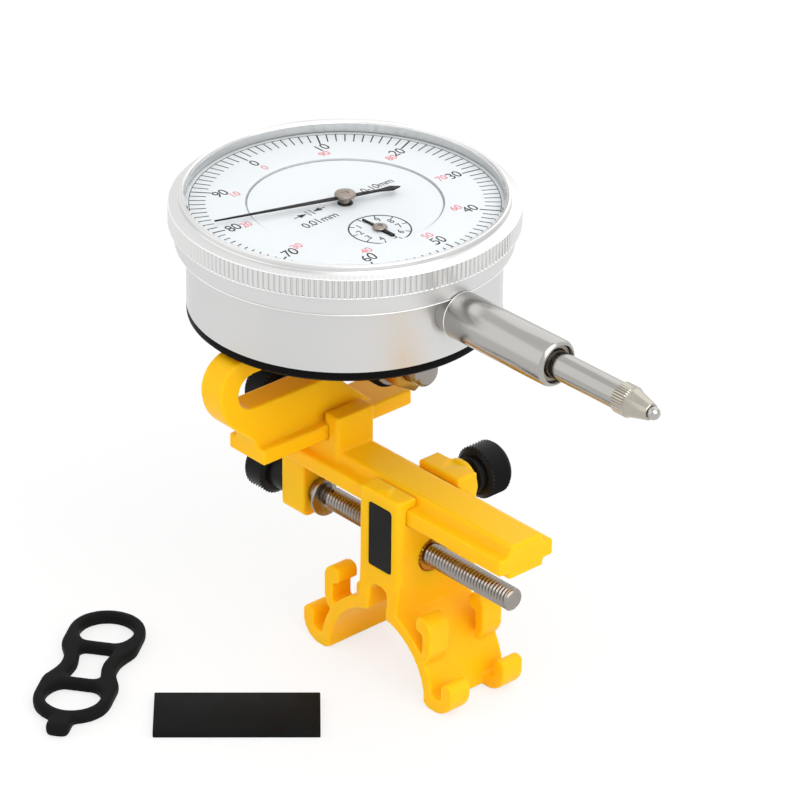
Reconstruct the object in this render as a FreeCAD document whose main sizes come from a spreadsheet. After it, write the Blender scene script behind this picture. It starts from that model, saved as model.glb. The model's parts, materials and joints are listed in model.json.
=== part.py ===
# Strap-on bicycle wheel truing stand: a saddle that straps to a fork leg, two crossed
# dovetail slides, and a 0-10 mm dial indicator on a C-shaped arm.
#
# Frame: origin on the axis of the saddle's arch, midway along it; +X along the lower
# slide and the indicator's stem, +Y along the arch, +Z up.  Millimetres and degrees.
import FreeCAD, Part
import math
import os
import Sketcher

Vector = FreeCAD.Vector
doc = FreeCAD.newDocument("truing_stand")
sheet = doc.addObject("Spreadsheet::Sheet", "sizes")

SIZES = {
    # running clearances
    "slide_gap": 0.05, "turn_gap": 0.04, "seat_gap": 0.02,
    # saddle arch and its strap hooks
    "arch_bore": 11.7, "arch_wall": 2.1, "arch_half": 8.1, "notch_half": 2.1, "notch_top": 16.8,
    "hook_wide": 4.4, "finger_thick": 2.6, "foot_slot": 2.0, "foot_drop": 0.6, "foot_tip": 5.6,
    "foot_floor": 1.9, "foot_round": 4.0, "top_hook_out": 13.1, "top_hook_thick": 2.0,
    "top_hook_top": 15.8, "top_hook_nose": 3.5, "top_hook_under": 13.1, "top_hook_foot": 9.0,
    # saddle block
    "block_half": 4.8, "block_front": 7.6, "block_back": 9.7, "block_foot": 12.3,
    "front_lip": 3.87, "back_lip": 5.36, "front_top": 34.25, "back_top": 34.05,
    "skirt_top": 18.6, "block_round": 1.2, "pointer_half": 1.3, "pointer_rise": 0.4,
    "mark_half": 1.8, "mark_deep": 0.35, "plate_half": 2.7, "plate_low": 20.05,
    "plate_high": 31.85, "plate_thick": 0.8,
    # lower slide
    "slot_floor": 29.7, "flange_half": 5.9, "flange_high": 2.9, "crest_foot": 3.8,
    "crest_half": 3.4, "crest_rise": 4.8, "keel_half": 3.7, "keel_deep": 1.2,
    "rail_back": 29.5, "rail_front": 26.9,
    # riser that carries the upper slide
    "riser_front": 14.3, "riser_half": 4.1, "upper_floor": 36.15, "upper_x": 21.25,
    "upper_flange_half": 4.4, "upper_flange_high": 2.8, "riser_top": 40.95, "upper_lip": 0.9,
    # adjusting screw
    "screw_z": 22.1, "screw_r": 1.98, "screw_end": 24.3, "thread_start": 19.8, "neck_r": 1.5,
    "lug_front": 23.7, "lug_half": 3.3, "lug_deep": 4.25, "lug_round": 1.3, "clip_r": 3.65,
    "clip_thick": 0.6, "clip_back": 21.6, "clip_reach": 0.9, "spacer_r": 2.3, "insert_r": 3.0,
    # knobs
    "knob_r": 4.65, "knob_long": 5.1, "knob_collar": 1.1, "knob_collar_r": 3.1,
    "knob_chamfer": 0.6, "adjuster_collar": 3.65,
    # clamp screws
    "clamp_high": 0.7, "clamp_r": 1.5, "clamp_insert_r": 2.3, "boss_r": 3.7, "riser_boss_r": 3.1,
    "boss_long": 1.4, "pad_r": 1.3, "pad_long": 0.9, "pad_stub": 0.7, "clamp_travel": 1.4,
    "clamp_neck": 1.2,
    # upper slide and C-shaped arm
    "upper_left": 18.0, "upper_right": 14.7, "web_half": 2.55, "web_top": 46.5,
    "web_flat_end": 1.2, "web_foot_end": 7.6, "web_start": 40.1, "web_knee_y": 5.1,
    "web_knee_z": 40.9, "arm_left": 25.6, "arm_turn": 46.5, "arm_top": 56.0,
    "arm_low_round": 8.8, "arm_high_round": 5.5, "arm_in": 3.15, "arm_centre_y": 18.5,
    "arm_eye_r": 4.6,
    # bolt, washers, nut and lug of the indicator
    "bolt_y": 7.4, "bolt_z": 49.3, "bolt_r": 2.5, "ear_r": 5.6, "ear_thick": 5.0,
    "washer_r": 4.9, "washer_thick": 1.0, "spring_washer_r": 4.1, "spring_washer_thick": 1.2,
    "nut_flat": 8.0, "nut_thick": 3.2, "bolt_end": 4.8, "head_r": 4.2, "head_thick": 3.0,
    "head_hex": 4.0, "head_hex_deep": 1.8, "ear_root_left": 4.5, "ear_root_right": 10.0,
    # indicator case, from the bezel inward
    "dial_y": 3.4, "bezel_r": 29.0, "ring_r": "=bezel_r - 1", "ring_bore": "=ring_r - 2",
    "cover_r": "=ring_r - 1.9", "case_wall": 1.6, "cover_low": 56.5, "cover_thick": 1.75,
    "case_top": "=cover_low + 13", "ring_top": "=case_top + 3.4", "spigot_deep": 1.5,
    "spigot_wall": 1.35, "screw_circle": "=cover_r - 4.2", "screw_post": 2.2,
    "post_shift": 0.9, "cover_screw_r": 0.9, "cover_head_r": 1.6, "cover_head_deep": 0.8,
    "post_long": 4.0,
    # bezel, crystal and faces
    "bezel_seat": "=bezel_r - 2.2", "bezel_in": "=bezel_seat - 0.5",
    "face_top": "=ring_top + 2.5", "face_thick": 0.6, "face_r": 16.2,
    "crystal_low": "=face_top + 0.25", "crystal_thick": 0.55, "lip_low": "=face_top + 0.8",
    "bezel_top": "=lip_low + 1.2", "knurl_top": "=bezel_top - 1.1", "rim_wide": 0.9,
    "shoulder_drop": 0.6, "rim_round": 0.3, "hand_z": "=face_top + 1.8",
    "crystal_rise": "=hand_z - face_top + 0.9",
    # stem and spindle
    "stem_z": "=cover_low + 9.8", "stem_r": 4.0, "root_r": 3.6, "root_end": "=bezel_r + 0.2",
    "stem_end": "=ring_r + 1.5", "stem_root": "=cover_r - 1.5", "stem_bore": 2.7,
    "bush_r": 3.25, "bush_long": 5.0, "bush_drop": 0.7, "stem_chamfer": 0.6,
    "spindle_r": 2.3, "spindle_back": "=cover_r - 1.8", "collar_start": "=stem_end + 14",
    "collar_r": 2.6, "collar_long": 4.2, "cone_long": 2.5, "cone_r": 1.1, "ball_r": 1.1,
    "ball_out": 0.9, "travel": 10.0, "cap_r": 3.6, "cap_wall": 1.2,
    # movement
    "small_x": 10.9, "small_y": 2.14, "wheel_r": 9.9, "pinion_r": 0.95, "rack_pinion_r": 1.59,
    "rack_flat": 0.5, "wheel_thick": 0.5, "wheel_z": "=ring_top - 0.4", "arbor_r": 0.45,
    "plate_r": "=cover_r - case_wall - 0.2", "plate_gauge": 1.0, "bridge_z": "=ring_top - 2.5",
    "bridge_x": 18.0, "bridge_y": 11.0, "pillar_r": 1.5, "pillar_x": 15.0, "pillar_y": 8.0,
    "rack_low": "=stem_z - 1", "rack_high": "=stem_z + 1", "foot_r": 1.0, "foot_x": 9.0,
    "foot_y": 9.4,
    # hands
    "hand_thick": 0.25, "hand_tip": "=bezel_in - 3.3", "hand_tail": 9.9, "hand_half": 0.5,
    "tail_half": 0.75, "tail_peak": 1.6, "tail_root": 3.8, "tail_neck": 0.3, "tip_half": 0.12,
    "hand_turn": 249.5, "hub_r": 1.0, "cap_disc_r": 1.75, "cap_disc_thick": 0.7,
    "small_hand_z": "=face_top + 0.8", "small_tip": 4.3, "small_tail": 3.3, "small_half": 0.35,
    "small_turn": 179.0, "small_cap_r": 1.25, "small_cap_thick": 0.45,
    # rubber strap and pad
    "strap_ring_r": 6.6, "strap_hole_r": 4.6, "strap_pitch": 21.1, "strap_waist": 4.0,
    "strap_bar": 2.0, "strap_thick": 2.2, "strap_shoulder": 5.0, "strap_curve": 8.0,
    "shoulder_round": 3.0, "window_round": 0.8, "window_flare": 1.0, "tab_half": 2.0,
    "tab_reach": 10.5, "tab_round": 1.2, "tab_lap": 0.7,
    "strap_x": -32.6, "strap_y": -42.8, "strap_turn": 125.6,
    "pad_x": -10.0, "pad_y": -48.0, "pad_turn": 48.9,
    "pad_size": 27.4, "pad_wide": 12.2, "pad_thick": 1.2,
}
for row, (word, number) in enumerate(SIZES.items(), start=1):
    sheet.set("A%d" % row, word)
    sheet.setAlias("B%d" % row, word)
    sheet.set("B%d" % row, str(number))
doc.recompute()


class Sizes:
    """The sheet's present values, read by name."""

    def __getattr__(self, word):
        return float(getattr(sheet, word))


size = Sizes()
parts = []


# ---------------------------------------------------------------- building blocks
def polar(radius, degrees, centre=(0.0, 0.0)):
    """A point on a circle, with its angle from the first axis."""
    turn = math.radians(degrees)
    return (centre[0] + radius * math.cos(turn), centre[1] + radius * math.sin(turn))


def new_body(name):
    """An empty body that is written out under its label."""
    body = doc.addObject("PartDesign::Body", name)
    body.Label = name
    parts.append(body)
    return body


def place(item, x="0", y="0", z="0", axis="Z", turn=None):
    """Move an item to an expression's place, with its own Z along the given axis."""
    turns = {"Z": (Vector(0, 0, 1), 0.0), "X": (Vector(0, 1, 0), 90.0),
             "-X": (Vector(0, 1, 0), -90.0), "Y": (Vector(1, 0, 0), -90.0),
             "-Y": (Vector(1, 0, 0), 90.0), "-Z": (Vector(1, 0, 0), 180.0)}
    about, angle = turns[axis]
    spin = FreeCAD.Rotation(about, angle)
    if turn is not None:
        spin = FreeCAD.Rotation(Vector(0, 0, 1), turn)
    item.Placement = FreeCAD.Placement(Vector(0, 0, 0), spin)
    for letter, expression in (("x", x), ("y", y), ("z", z)):
        item.setExpression(".Placement.Base." + letter, expression)
    return item


def sketch_on(body, plane, offset="0"):
    """A sketch on one of the body's own planes, moved along that plane's normal."""
    sketch = body.newObject("Sketcher::SketchObject", body.Name + "_sketch")
    support = next(item for item in body.Origin.OriginFeatures if item.Role == plane + "_Plane")
    sketch.AttachmentSupport = [(support, "")]
    sketch.MapMode = "FlatFace"
    sketch.setExpression(".AttachmentOffset.Base.z", offset)
    return sketch


def flat(point):
    """A sketch point as a vector."""
    return Vector(point[0], point[1], 0)


def outline(sketch, points):
    """Draw a closed outline through corners (u, v) or rounded corners (u, v, radius)."""
    corners = [flat(point) for point in points]
    rounds = [point[2] if len(point) > 2 else 0.0 for point in points]
    ends = []
    arcs = []
    for index, corner in enumerate(corners):
        radius = rounds[index]
        before = corners[index - 1].sub(corner).normalize()
        after = corners[(index + 1) % len(corners)].sub(corner).normalize()
        half = before.getAngle(after) / 2
        if radius <= 0:
            ends.append((corner, corner))
            arcs.append(None)
            continue
        reach = radius / math.tan(half)
        start = corner.add(before * reach)
        finish = corner.add(after * reach)
        middle_way = before.add(after).normalize()
        centre = corner.add(middle_way * (radius / math.sin(half)))
        ends.append((start, finish))
        arcs.append(Part.Arc(start, centre.sub(middle_way * radius), finish))
    for index, arc in enumerate(arcs):
        if arc is not None:
            sketch.addGeometry(arc, False)
        start = ends[index][1]
        finish = ends[(index + 1) % len(ends)][0]
        if start.distanceToPoint(finish) > 1e-6:
            sketch.addGeometry(Part.LineSegment(start, finish), False)


def circle(sketch, centre, radius):
    """A full circle whose radius follows an expression."""
    value = sheet.evalExpression(radius)
    index = sketch.addGeometry(Part.Circle(flat(centre), Vector(0, 0, 1), value), False)
    rule = sketch.addConstraint(Sketcher.Constraint("Radius", index, value))
    sketch.setExpression("Constraints[%d]" % rule, radius)


def sector(sketch, inner, outer, start, finish, centre=(0.0, 0.0)):
    """Draw a piece of a ring between two angles."""
    middle = (start + finish) / 2
    points = [flat(polar(radius, angle, centre)) for radius, angle in (
        (inner, start), (outer, start), (outer, middle), (outer, finish), (inner, finish),
        (inner, middle))]
    sketch.addGeometry(Part.LineSegment(points[0], points[1]), False)
    sketch.addGeometry(Part.Arc(points[1], points[2], points[3]), False)
    sketch.addGeometry(Part.LineSegment(points[3], points[4]), False)
    sketch.addGeometry(Part.Arc(points[4], points[5], points[0]), False)


def pad(body, sketch, length, both=False, back=False):
    """Raise a sketch by an expression's length."""
    feature = body.newObject("PartDesign::Pad", body.Name + "_pad")
    feature.Profile = sketch
    feature.Midplane = both
    feature.Reversed = back
    feature.setExpression("Length", length)
    doc.recompute()
    return feature


def pocket(body, sketch, length, both=False, back=False):
    """Cut a sketch to an expression's depth, and make sure that it cuts."""
    before = body.Shape.Volume
    feature = body.newObject("PartDesign::Pocket", body.Name + "_pocket")
    feature.Profile = sketch
    feature.Midplane = both
    feature.Reversed = back
    feature.setExpression("Length", length)
    doc.recompute()
    if not body.Shape.Volume < before - 1e-4:
        raise RuntimeError("%s: a pocket cuts nothing" % body.Label)
    return feature


def turned(name, profile, x="0", y="0", z="0", axis="Z"):
    """A body turned from a closed profile of (radius, height) corners."""
    body = new_body(name)
    sketch = sketch_on(body, "XZ")
    outline(sketch, profile)
    feature = body.newObject("PartDesign::Revolution", name + "_turning")
    feature.Profile = sketch
    feature.ReferenceAxis = (sketch, ["V_Axis"])
    feature.Angle = 360
    place(body, x, y, z, axis)
    doc.recompute()
    return body


def tube(name, inner, outer, low, high, x="0", y="0", z="0", axis="Z"):
    """A plain ring or washer between two heights."""
    return turned(name, [(inner, low), (outer, low), (outer, high), (inner, high)],
                  x, y, z, axis)


def joined(name, items):
    """Fuse loose primitives into one sub-part."""
    fused = doc.addObject("Part::MultiFuse", name)
    fused.Label = name
    fused.Shapes = items
    parts.append(fused)
    return fused


def cylinder(name, radius, height):
    """A cylinder whose sizes follow expressions."""
    item = doc.addObject("Part::Cylinder", name)
    item.setExpression("Radius", radius)
    item.setExpression("Height", height)
    return item


def box(name, length, width, height):
    """A box whose sizes follow expressions."""
    item = doc.addObject("Part::Box", name)
    item.setExpression("Length", length)
    item.setExpression("Width", width)
    item.setExpression("Height", height)
    return item


DIAL_X = "-sizes.upper_x"
DIAL_Y = "sizes.dial_y"


# ---------------------------------------------------------------- saddle
def slot_section(sketch, floor, roof):
    """The lower slide's channel: keel groove, flange groove and the mouth between the lips."""
    gap = size.slide_gap
    keel = size.keel_half + gap
    flange = size.flange_half + gap
    low = floor - size.keel_deep - gap
    shelf = floor - gap
    lip = floor + size.flange_high + gap
    outline(sketch, [
        (-keel, low), (keel, low), (keel, shelf), (flange, shelf), (flange, lip),
        (size.back_lip, lip), (size.back_lip, roof), (-size.front_lip, roof),
        (-size.front_lip, lip), (-flange, lip), (-flange, shelf), (-keel, shelf)])


def hook_sketch(body, offset):
    """The foot hooks and the top hooks of one end of the arch, on both legs."""
    bore = size.arch_bore
    outer = bore + size.arch_wall
    finger = size.finger_thick
    slot_end = outer + size.foot_slot
    foot_out = slot_end + finger
    tip = size.foot_tip
    floor = size.foot_floor
    foot = [
        (bore, 3.2), (bore, -size.foot_drop, 1.4), (foot_out, -size.foot_drop, size.foot_round),
        (foot_out, tip, finger * 0.48), (slot_end, tip, finger * 0.48), (slot_end, floor, 0.8),
        (outer - 0.2, floor, 0.6), (outer - 0.5, 3.2)]
    out = size.top_hook_out
    throat = out - size.top_hook_thick
    top = size.top_hook_top
    under = size.top_hook_under
    nose = out - size.top_hook_nose
    root = size.top_hook_foot
    finger_up = [
        (out - 1.8, root - 2.0), (out - 0.8, root - 1.1, 0.8), (out, root + 0.6, 1.5),
        (out, top, 2.0), (nose, top - 0.2, 1.0), (nose - 0.1, under, 0.7),
        (throat, under - 0.5, 0.5), (throat, root, 0.6), (throat - 1.1, root)]
    sketch = sketch_on(body, "XZ", offset)
    for side in (1, -1):
        for piece in (foot, finger_up):
            outline(sketch, [(side * point[0],) + tuple(point[1:]) for point in piece])
    return sketch


def make_saddle():
    """Arch, block, slot, hooks and clamp boss in one moulding."""
    body = new_body("saddle")
    outer = size.arch_bore + size.arch_wall
    sketch = sketch_on(body, "XZ")
    sector(sketch, size.arch_bore, outer, 0, 180)
    pad(body, sketch, "sizes.arch_half * 2", both=True)
    sketch = sketch_on(body, "XY", "sizes.block_foot")
    half = size.block_half
    outline(sketch, [(-half, -size.block_front), (half, -size.block_front, size.block_round),
                     (half, size.block_back), (-half, size.block_back)])
    pad(body, sketch, "sizes.front_top - sizes.block_foot")
    sketch = sketch_on(body, "YZ")
    outline(sketch, [(-size.block_front + 0.4, size.block_foot), (-size.arch_half, size.block_foot),
                     (-size.arch_half, size.block_foot + 0.9, 1.0),
                     (-size.block_front - 0.3, size.block_foot + 2.4, 2.0),
                     (-size.block_front + 0.02, size.skirt_top),
                     (-size.block_front + 0.4, size.skirt_top)])
    pad(body, sketch, "sizes.block_half * 2", both=True)
    sketch = sketch_on(body, "XZ", "-sizes.block_back")
    circle(sketch, (0, size.slot_floor + size.clamp_high), "sizes.boss_r")
    pad(body, sketch, "sizes.boss_long", back=True)
    sketch = sketch_on(body, "YZ")
    slot_section(sketch, size.slot_floor, size.front_top + 3)
    pocket(body, sketch, "sizes.block_half * 2 + 2", both=True)
    sketch = sketch_on(body, "XZ", "-sizes.back_lip + 1")
    outline(sketch, [(-half - 1, size.back_top), (half + 1, size.back_top),
                     (half + 1, size.front_top + 3), (-half - 1, size.front_top + 3)])
    pocket(body, sketch, "sizes.block_back")
    sketch = sketch_on(body, "XZ")
    outline(sketch, [(-size.notch_half, 0), (size.notch_half, 0),
                     (size.notch_half, size.notch_top, size.notch_half * 0.8),
                     (-size.notch_half, size.notch_top, size.notch_half * 0.8)])
    pocket(body, sketch, "sizes.block_back * 2 + 2", both=True)
    sketch = sketch_on(body, "YZ")
    circle(sketch, (0, size.screw_z), "sizes.insert_r + sizes.seat_gap")
    pocket(body, sketch, "sizes.block_half * 2 + 2", both=True)
    sketch = sketch_on(body, "XZ", "sizes.block_front")
    outline(sketch, [(-size.plate_half, size.plate_low, 0.4), (size.plate_half, size.plate_low, 0.4),
                     (size.plate_half, size.plate_high, 0.4),
                     (-size.plate_half, size.plate_high, 0.4)])
    pocket(body, sketch, "sizes.plate_thick")
    sketch = sketch_on(body, "XZ", "-sizes.back_lip")
    circle(sketch, (0, size.slot_floor + size.clamp_high),
           "sizes.clamp_insert_r + sizes.seat_gap")
    pocket(body, sketch, "sizes.block_back + sizes.boss_long")
    for offset in ("sizes.arch_half", "-sizes.arch_half + sizes.hook_wide"):
        pad(body, hook_sketch(body, offset), "sizes.hook_wide", back=True)
    wall = -(size.block_front + size.front_lip) / 2
    reach = 1.1
    sketch = sketch_on(body, "XY", "sizes.front_top - 0.1")
    outline(sketch, [(-size.pointer_half, wall - reach), (size.pointer_half, wall - reach),
                     (0, wall + reach)])
    pad(body, sketch, "sizes.pointer_rise + 0.1")
    sketch = sketch_on(body, "XY", "sizes.back_top")
    outline(sketch, [(-size.mark_half, size.block_back + 0.1),
                     (size.mark_half, size.block_back + 0.1), (0, size.back_lip + 1)])
    pocket(body, sketch, "sizes.mark_deep")
    return body


def make_name_plate():
    """The bare black plate that fills the recess of the block's front face."""
    body = new_body("name_plate")
    gap = size.seat_gap
    sketch = sketch_on(body, "XZ", "sizes.block_front")
    half = size.plate_half - gap
    outline(sketch, [(-half, size.plate_low + gap, 0.4), (half, size.plate_low + gap, 0.4),
                     (half, size.plate_high - gap, 0.4), (-half, size.plate_high - gap, 0.4)])
    pad(body, sketch, "sizes.plate_thick", back=True)
    return body


# ---------------------------------------------------------------- lower slide
def make_lower_rail():
    """Flange, crest, keel, riser and screw lug in one moulding."""
    body = new_body("lower_rail")
    floor = size.slot_floor
    flange_top = floor + size.flange_high
    sketch = sketch_on(body, "YZ", "-sizes.rail_back")
    outline(sketch, [
        (-size.keel_half, floor - size.keel_deep), (size.keel_half, floor - size.keel_deep),
        (size.keel_half, floor), (size.flange_half, floor), (size.flange_half, flange_top),
        (size.crest_foot, flange_top), (size.crest_half, floor + size.crest_rise, 0.4),
        (-size.crest_half, floor + size.crest_rise, 0.4), (-size.crest_foot, flange_top),
        (-size.flange_half, flange_top), (-size.flange_half, floor), (-size.keel_half, floor)])
    pad(body, sketch, "sizes.rail_back + sizes.rail_front")
    sketch = sketch_on(body, "XY", "sizes.slot_floor + 1")
    outline(sketch, [(-size.rail_back, -size.riser_half), (-size.riser_front, -size.riser_half, 0.6),
                     (-size.riser_front, size.riser_half, 0.6), (-size.rail_back, size.riser_half)])
    pad(body, sketch, "sizes.riser_top - sizes.slot_floor - 1")
    sketch = sketch_on(body, "YZ", "-sizes.rail_back")
    low = size.screw_z - size.lug_deep
    outline(sketch, [(-size.lug_half, low, size.lug_round), (size.lug_half, low, size.lug_round),
                     (size.lug_half, floor + 1), (-size.lug_half, floor + 1)])
    pad(body, sketch, "sizes.rail_back - sizes.lug_front")
    sketch = sketch_on(body, "YZ", "-sizes.rail_back")
    circle(sketch, (0, size.upper_floor + size.clamp_high), "sizes.riser_boss_r")
    pad(body, sketch, "sizes.boss_long", back=True)
    gap = size.slide_gap
    left = -size.upper_x - size.upper_flange_half - gap
    right = -size.upper_x + size.upper_flange_half + gap
    lip_low = size.upper_floor + size.upper_flange_high + gap
    sketch = sketch_on(body, "XZ")
    outline(sketch, [(left, size.upper_floor - gap), (right, size.upper_floor - gap),
                     (right, lip_low), (right - size.upper_lip, lip_low),
                     (right - size.upper_lip, size.riser_top + 1),
                     (left + size.upper_lip, size.riser_top + 1), (left + size.upper_lip, lip_low),
                     (left, lip_low)])
    pocket(body, sketch, "sizes.riser_half * 2 + 2", both=True)
    sketch = sketch_on(body, "YZ", "-sizes.lug_front")
    circle(sketch, (0, size.screw_z), "sizes.screw_r + sizes.turn_gap")
    pocket(body, sketch, "sizes.rail_back - sizes.lug_front")
    sketch = sketch_on(body, "YZ", "-sizes.upper_x - sizes.upper_flange_half")
    circle(sketch, (0, size.upper_floor + size.clamp_high),
           "sizes.clamp_insert_r + sizes.seat_gap")
    pocket(body, sketch, "sizes.rail_back")
    return body


# ---------------------------------------------------------------- upper slide and arm
def make_cross_rail():
    """The upper slide's flange with the web that grows into the C-shaped arm."""
    body = new_body("cross_rail")
    place(body, DIAL_X)
    sketch = sketch_on(body, "XZ", "sizes.upper_left")
    top = size.upper_floor + size.upper_flange_high
    outline(sketch, [(-size.upper_flange_half, size.upper_floor),
                     (size.upper_flange_half, size.upper_floor), (size.upper_flange_half, top),
                     (-size.upper_flange_half, top)])
    pad(body, sketch, "sizes.upper_left + sizes.upper_right", back=True)
    inner_low = size.web_top
    inner_high = size.web_top + 2 * size.arm_in
    left = -size.arm_centre_y - size.arm_in
    eye_y = size.bolt_y
    eye_r = size.arm_eye_r
    sketch = sketch_on(body, "YZ")
    outline(sketch, [
        (-size.upper_left, top - 0.5), (-size.upper_left - 0.3, size.web_start, 0.8),
        (-size.arm_left, size.arm_turn, size.arm_low_round),
        (-size.arm_left, size.arm_top, size.arm_high_round), (eye_y - 4.2, size.arm_top, 3.0),
        (eye_y + eye_r, size.bolt_z + eye_r * 0.9, eye_r * 0.85),
        (eye_y + eye_r, size.bolt_z - eye_r, eye_r * 0.95),
        (eye_y - eye_r, size.bolt_z - eye_r, eye_r * 0.95), (eye_y - eye_r, inner_high, 1.5),
        (left, inner_high, size.arm_in * 0.99), (left, inner_low, size.arm_in * 0.99),
        (-size.web_flat_end, inner_low, 1.5), (size.web_knee_y, size.web_knee_z, 3.0),
        (size.web_foot_end, top - 0.5)])
    pad(body, sketch, "sizes.web_half * 2", both=True)
    sketch = sketch_on(body, "YZ")
    circle(sketch, (size.bolt_y, size.bolt_z), "sizes.bolt_r + sizes.seat_gap")
    pocket(body, sketch, "sizes.web_half * 2 + 2", both=True)
    return body


# ---------------------------------------------------------------- knobs and screws
def knob(name, bore, collar, x, y, z, axis):
    """A round knob with a collar toward its seat and a chamfered far end, on a screw."""
    high = collar + size.knob_long
    chamfer = size.knob_chamfer
    return turned(name, [
        (bore, 0), (size.knob_collar_r, 0), (size.knob_collar_r, collar),
        (size.knob_r - 0.3, collar), (size.knob_r, collar + 0.3),
        (size.knob_r, high - chamfer), (size.knob_r - chamfer, high),
        (size.knob_r * 0.55, high), (size.knob_r * 0.5, high - 0.5), (bore, high - 0.5)],
        x, y, z, axis)


def make_adjuster():
    """Adjusting screw with its knob, spacer and open retaining clip."""
    gap = size.slide_gap
    screw = size.screw_r
    seat = size.seat_gap
    knob_seat = -size.rail_back - gap
    knob_end = size.rail_back + gap + size.adjuster_collar + size.knob_long - 0.6
    shoulder = -size.clip_back - gap
    neck_end = -size.thread_start
    turned("adjusting_screw", [
        (0, -knob_end), (screw, -knob_end), (screw, shoulder), (size.neck_r, shoulder),
        (size.neck_r, neck_end), (screw - 0.4, neck_end), (screw, neck_end + 0.4),
        (screw, size.screw_end - 0.5), (screw - 0.5, size.screw_end), (0, size.screw_end)],
        z="sizes.screw_z", axis="X")
    knob("adjuster_knob", screw + seat, size.adjuster_collar, str(knob_seat), "0",
         "sizes.screw_z", "-X")
    tube("thrust_washer", screw + seat, size.spacer_r, -size.lug_front + gap, shoulder,
         z="sizes.screw_z", axis="X")
    body = new_body("retaining_clip")
    sketch = sketch_on(body, "XY", "-sizes.clip_back")
    circle(sketch, (0, 0), "sizes.clip_r")
    pad(body, sketch, "sizes.clip_thick")
    reach = size.clip_reach
    wide = size.clip_r + 1
    mouth = size.neck_r * 0.9
    sketch = sketch_on(body, "XY", "-sizes.clip_back")
    circle(sketch, (0, 0), "sizes.neck_r + sizes.seat_gap")
    pocket(body, sketch, "sizes.clip_thick", back=True)
    sketch = sketch_on(body, "XY", "-sizes.clip_back")
    outline(sketch, [(-wide, reach), (-mouth, reach), (-mouth, 0), (mouth, 0), (mouth, reach),
                     (wide, reach), (wide, wide), (-wide, wide)])
    pocket(body, sketch, "sizes.clip_thick", back=True)
    place(body, z="sizes.screw_z", axis="X")
    tube("thread_insert", screw + size.turn_gap, size.insert_r, -size.block_half, size.block_half,
         z="sizes.screw_z", axis="X")


def clamp(prefix, wall_in, wall_out, x, y, z, axis):
    """A knobbed clamp screw, its threaded insert and its pressure pad; Z leads outward."""
    gap = size.slide_gap
    tube(prefix + "_insert", size.clamp_r + size.turn_gap, size.clamp_insert_r, wall_in,
         wall_out, x, y, z, axis)
    foot = wall_in - gap + 0.02
    nose = foot + size.pad_long
    stub = size.pad_stub
    turned(prefix + "_pad", [(0, foot), (size.pad_r, foot), (size.pad_r, nose), (stub, nose),
                             (stub, nose + 1.6), (0, nose + 1.6)], x, y, z, axis)
    start = nose + 0.02
    seat = wall_out + size.clamp_neck
    finish = seat + size.knob_collar + size.knob_long - 0.6
    turned(prefix + "_screw", [
        (stub + size.turn_gap, start), (size.clamp_r, start), (size.clamp_r, finish), (0, finish),
        (0, nose + 1.7), (stub + size.turn_gap, nose + 1.7)], x, y, z, axis)
    shifted = {"Y": (x, "%s + %r" % (y, seat), z), "-X": ("%s - %r" % (x, seat), y, z)}[axis]
    knob(prefix + "_knob", size.clamp_r + size.seat_gap, size.knob_collar, *shifted, axis)


def make_clamps():
    """The two clamps: one through the saddle's back wall, one through the riser's."""
    clamp("rail_clamp", size.flange_half + size.slide_gap, size.block_back + size.boss_long,
          "0", "0", "sizes.slot_floor + sizes.clamp_high", "Y")
    edge = size.upper_x + size.upper_flange_half + size.slide_gap
    clamp("cross_clamp", edge, size.rail_back + size.boss_long,
          "0", "0", "sizes.upper_floor + sizes.clamp_high", "-X")


# ---------------------------------------------------------------- pivot bolt
def make_pivot():
    """The bolt through the arm's eye and the cover's lug, with its washers and nut."""
    gap = size.slide_gap
    eye_left = -size.upper_x - size.web_half
    eye_right = -size.upper_x + size.web_half
    ear_right = eye_right + 2 * gap + size.ear_thick
    body = turned("pivot_bolt", [
        (0, eye_left - size.head_thick), (size.head_r - 0.5, eye_left - size.head_thick),
        (size.head_r, eye_left - size.head_thick + 0.5), (size.head_r, eye_left),
        (size.bolt_r, eye_left), (size.bolt_r, -size.bolt_end - 0.5),
        (size.bolt_r - 0.5, -size.bolt_end), (0, -size.bolt_end)],
        y="sizes.bolt_y", z="sizes.bolt_z", axis="X")
    sketch = sketch_on(body, "XY", str(eye_left - size.head_thick))
    outline(sketch, [polar(size.head_hex / math.sqrt(3), 60 * turn) for turn in range(6)])
    pocket(body, sketch, "sizes.head_hex_deep", back=True)
    first = ear_right + gap
    washer_end = first + size.washer_thick
    spring_end = washer_end + size.spring_washer_thick
    bore = size.bolt_r + size.seat_gap
    tube("pivot_washer", bore, size.washer_r, first, washer_end,
         y="sizes.bolt_y", z="sizes.bolt_z", axis="X")
    tube("spring_washer", bore, size.spring_washer_r, washer_end, spring_end,
         y="sizes.bolt_y", z="sizes.bolt_z", axis="X")
    body = new_body("pivot_nut")
    sketch = sketch_on(body, "XY", str(spring_end))
    outline(sketch, [polar(size.nut_flat / math.sqrt(3), 60 * turn) for turn in range(6)])
    pad(body, sketch, "sizes.nut_thick")
    sketch = sketch_on(body, "XY", str(spring_end))
    circle(sketch, (0, 0), "sizes.bolt_r + sizes.seat_gap")
    pocket(body, sketch, "sizes.nut_thick", back=True)
    place(body, "0", "sizes.bolt_y", "sizes.bolt_z", "X")


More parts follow.
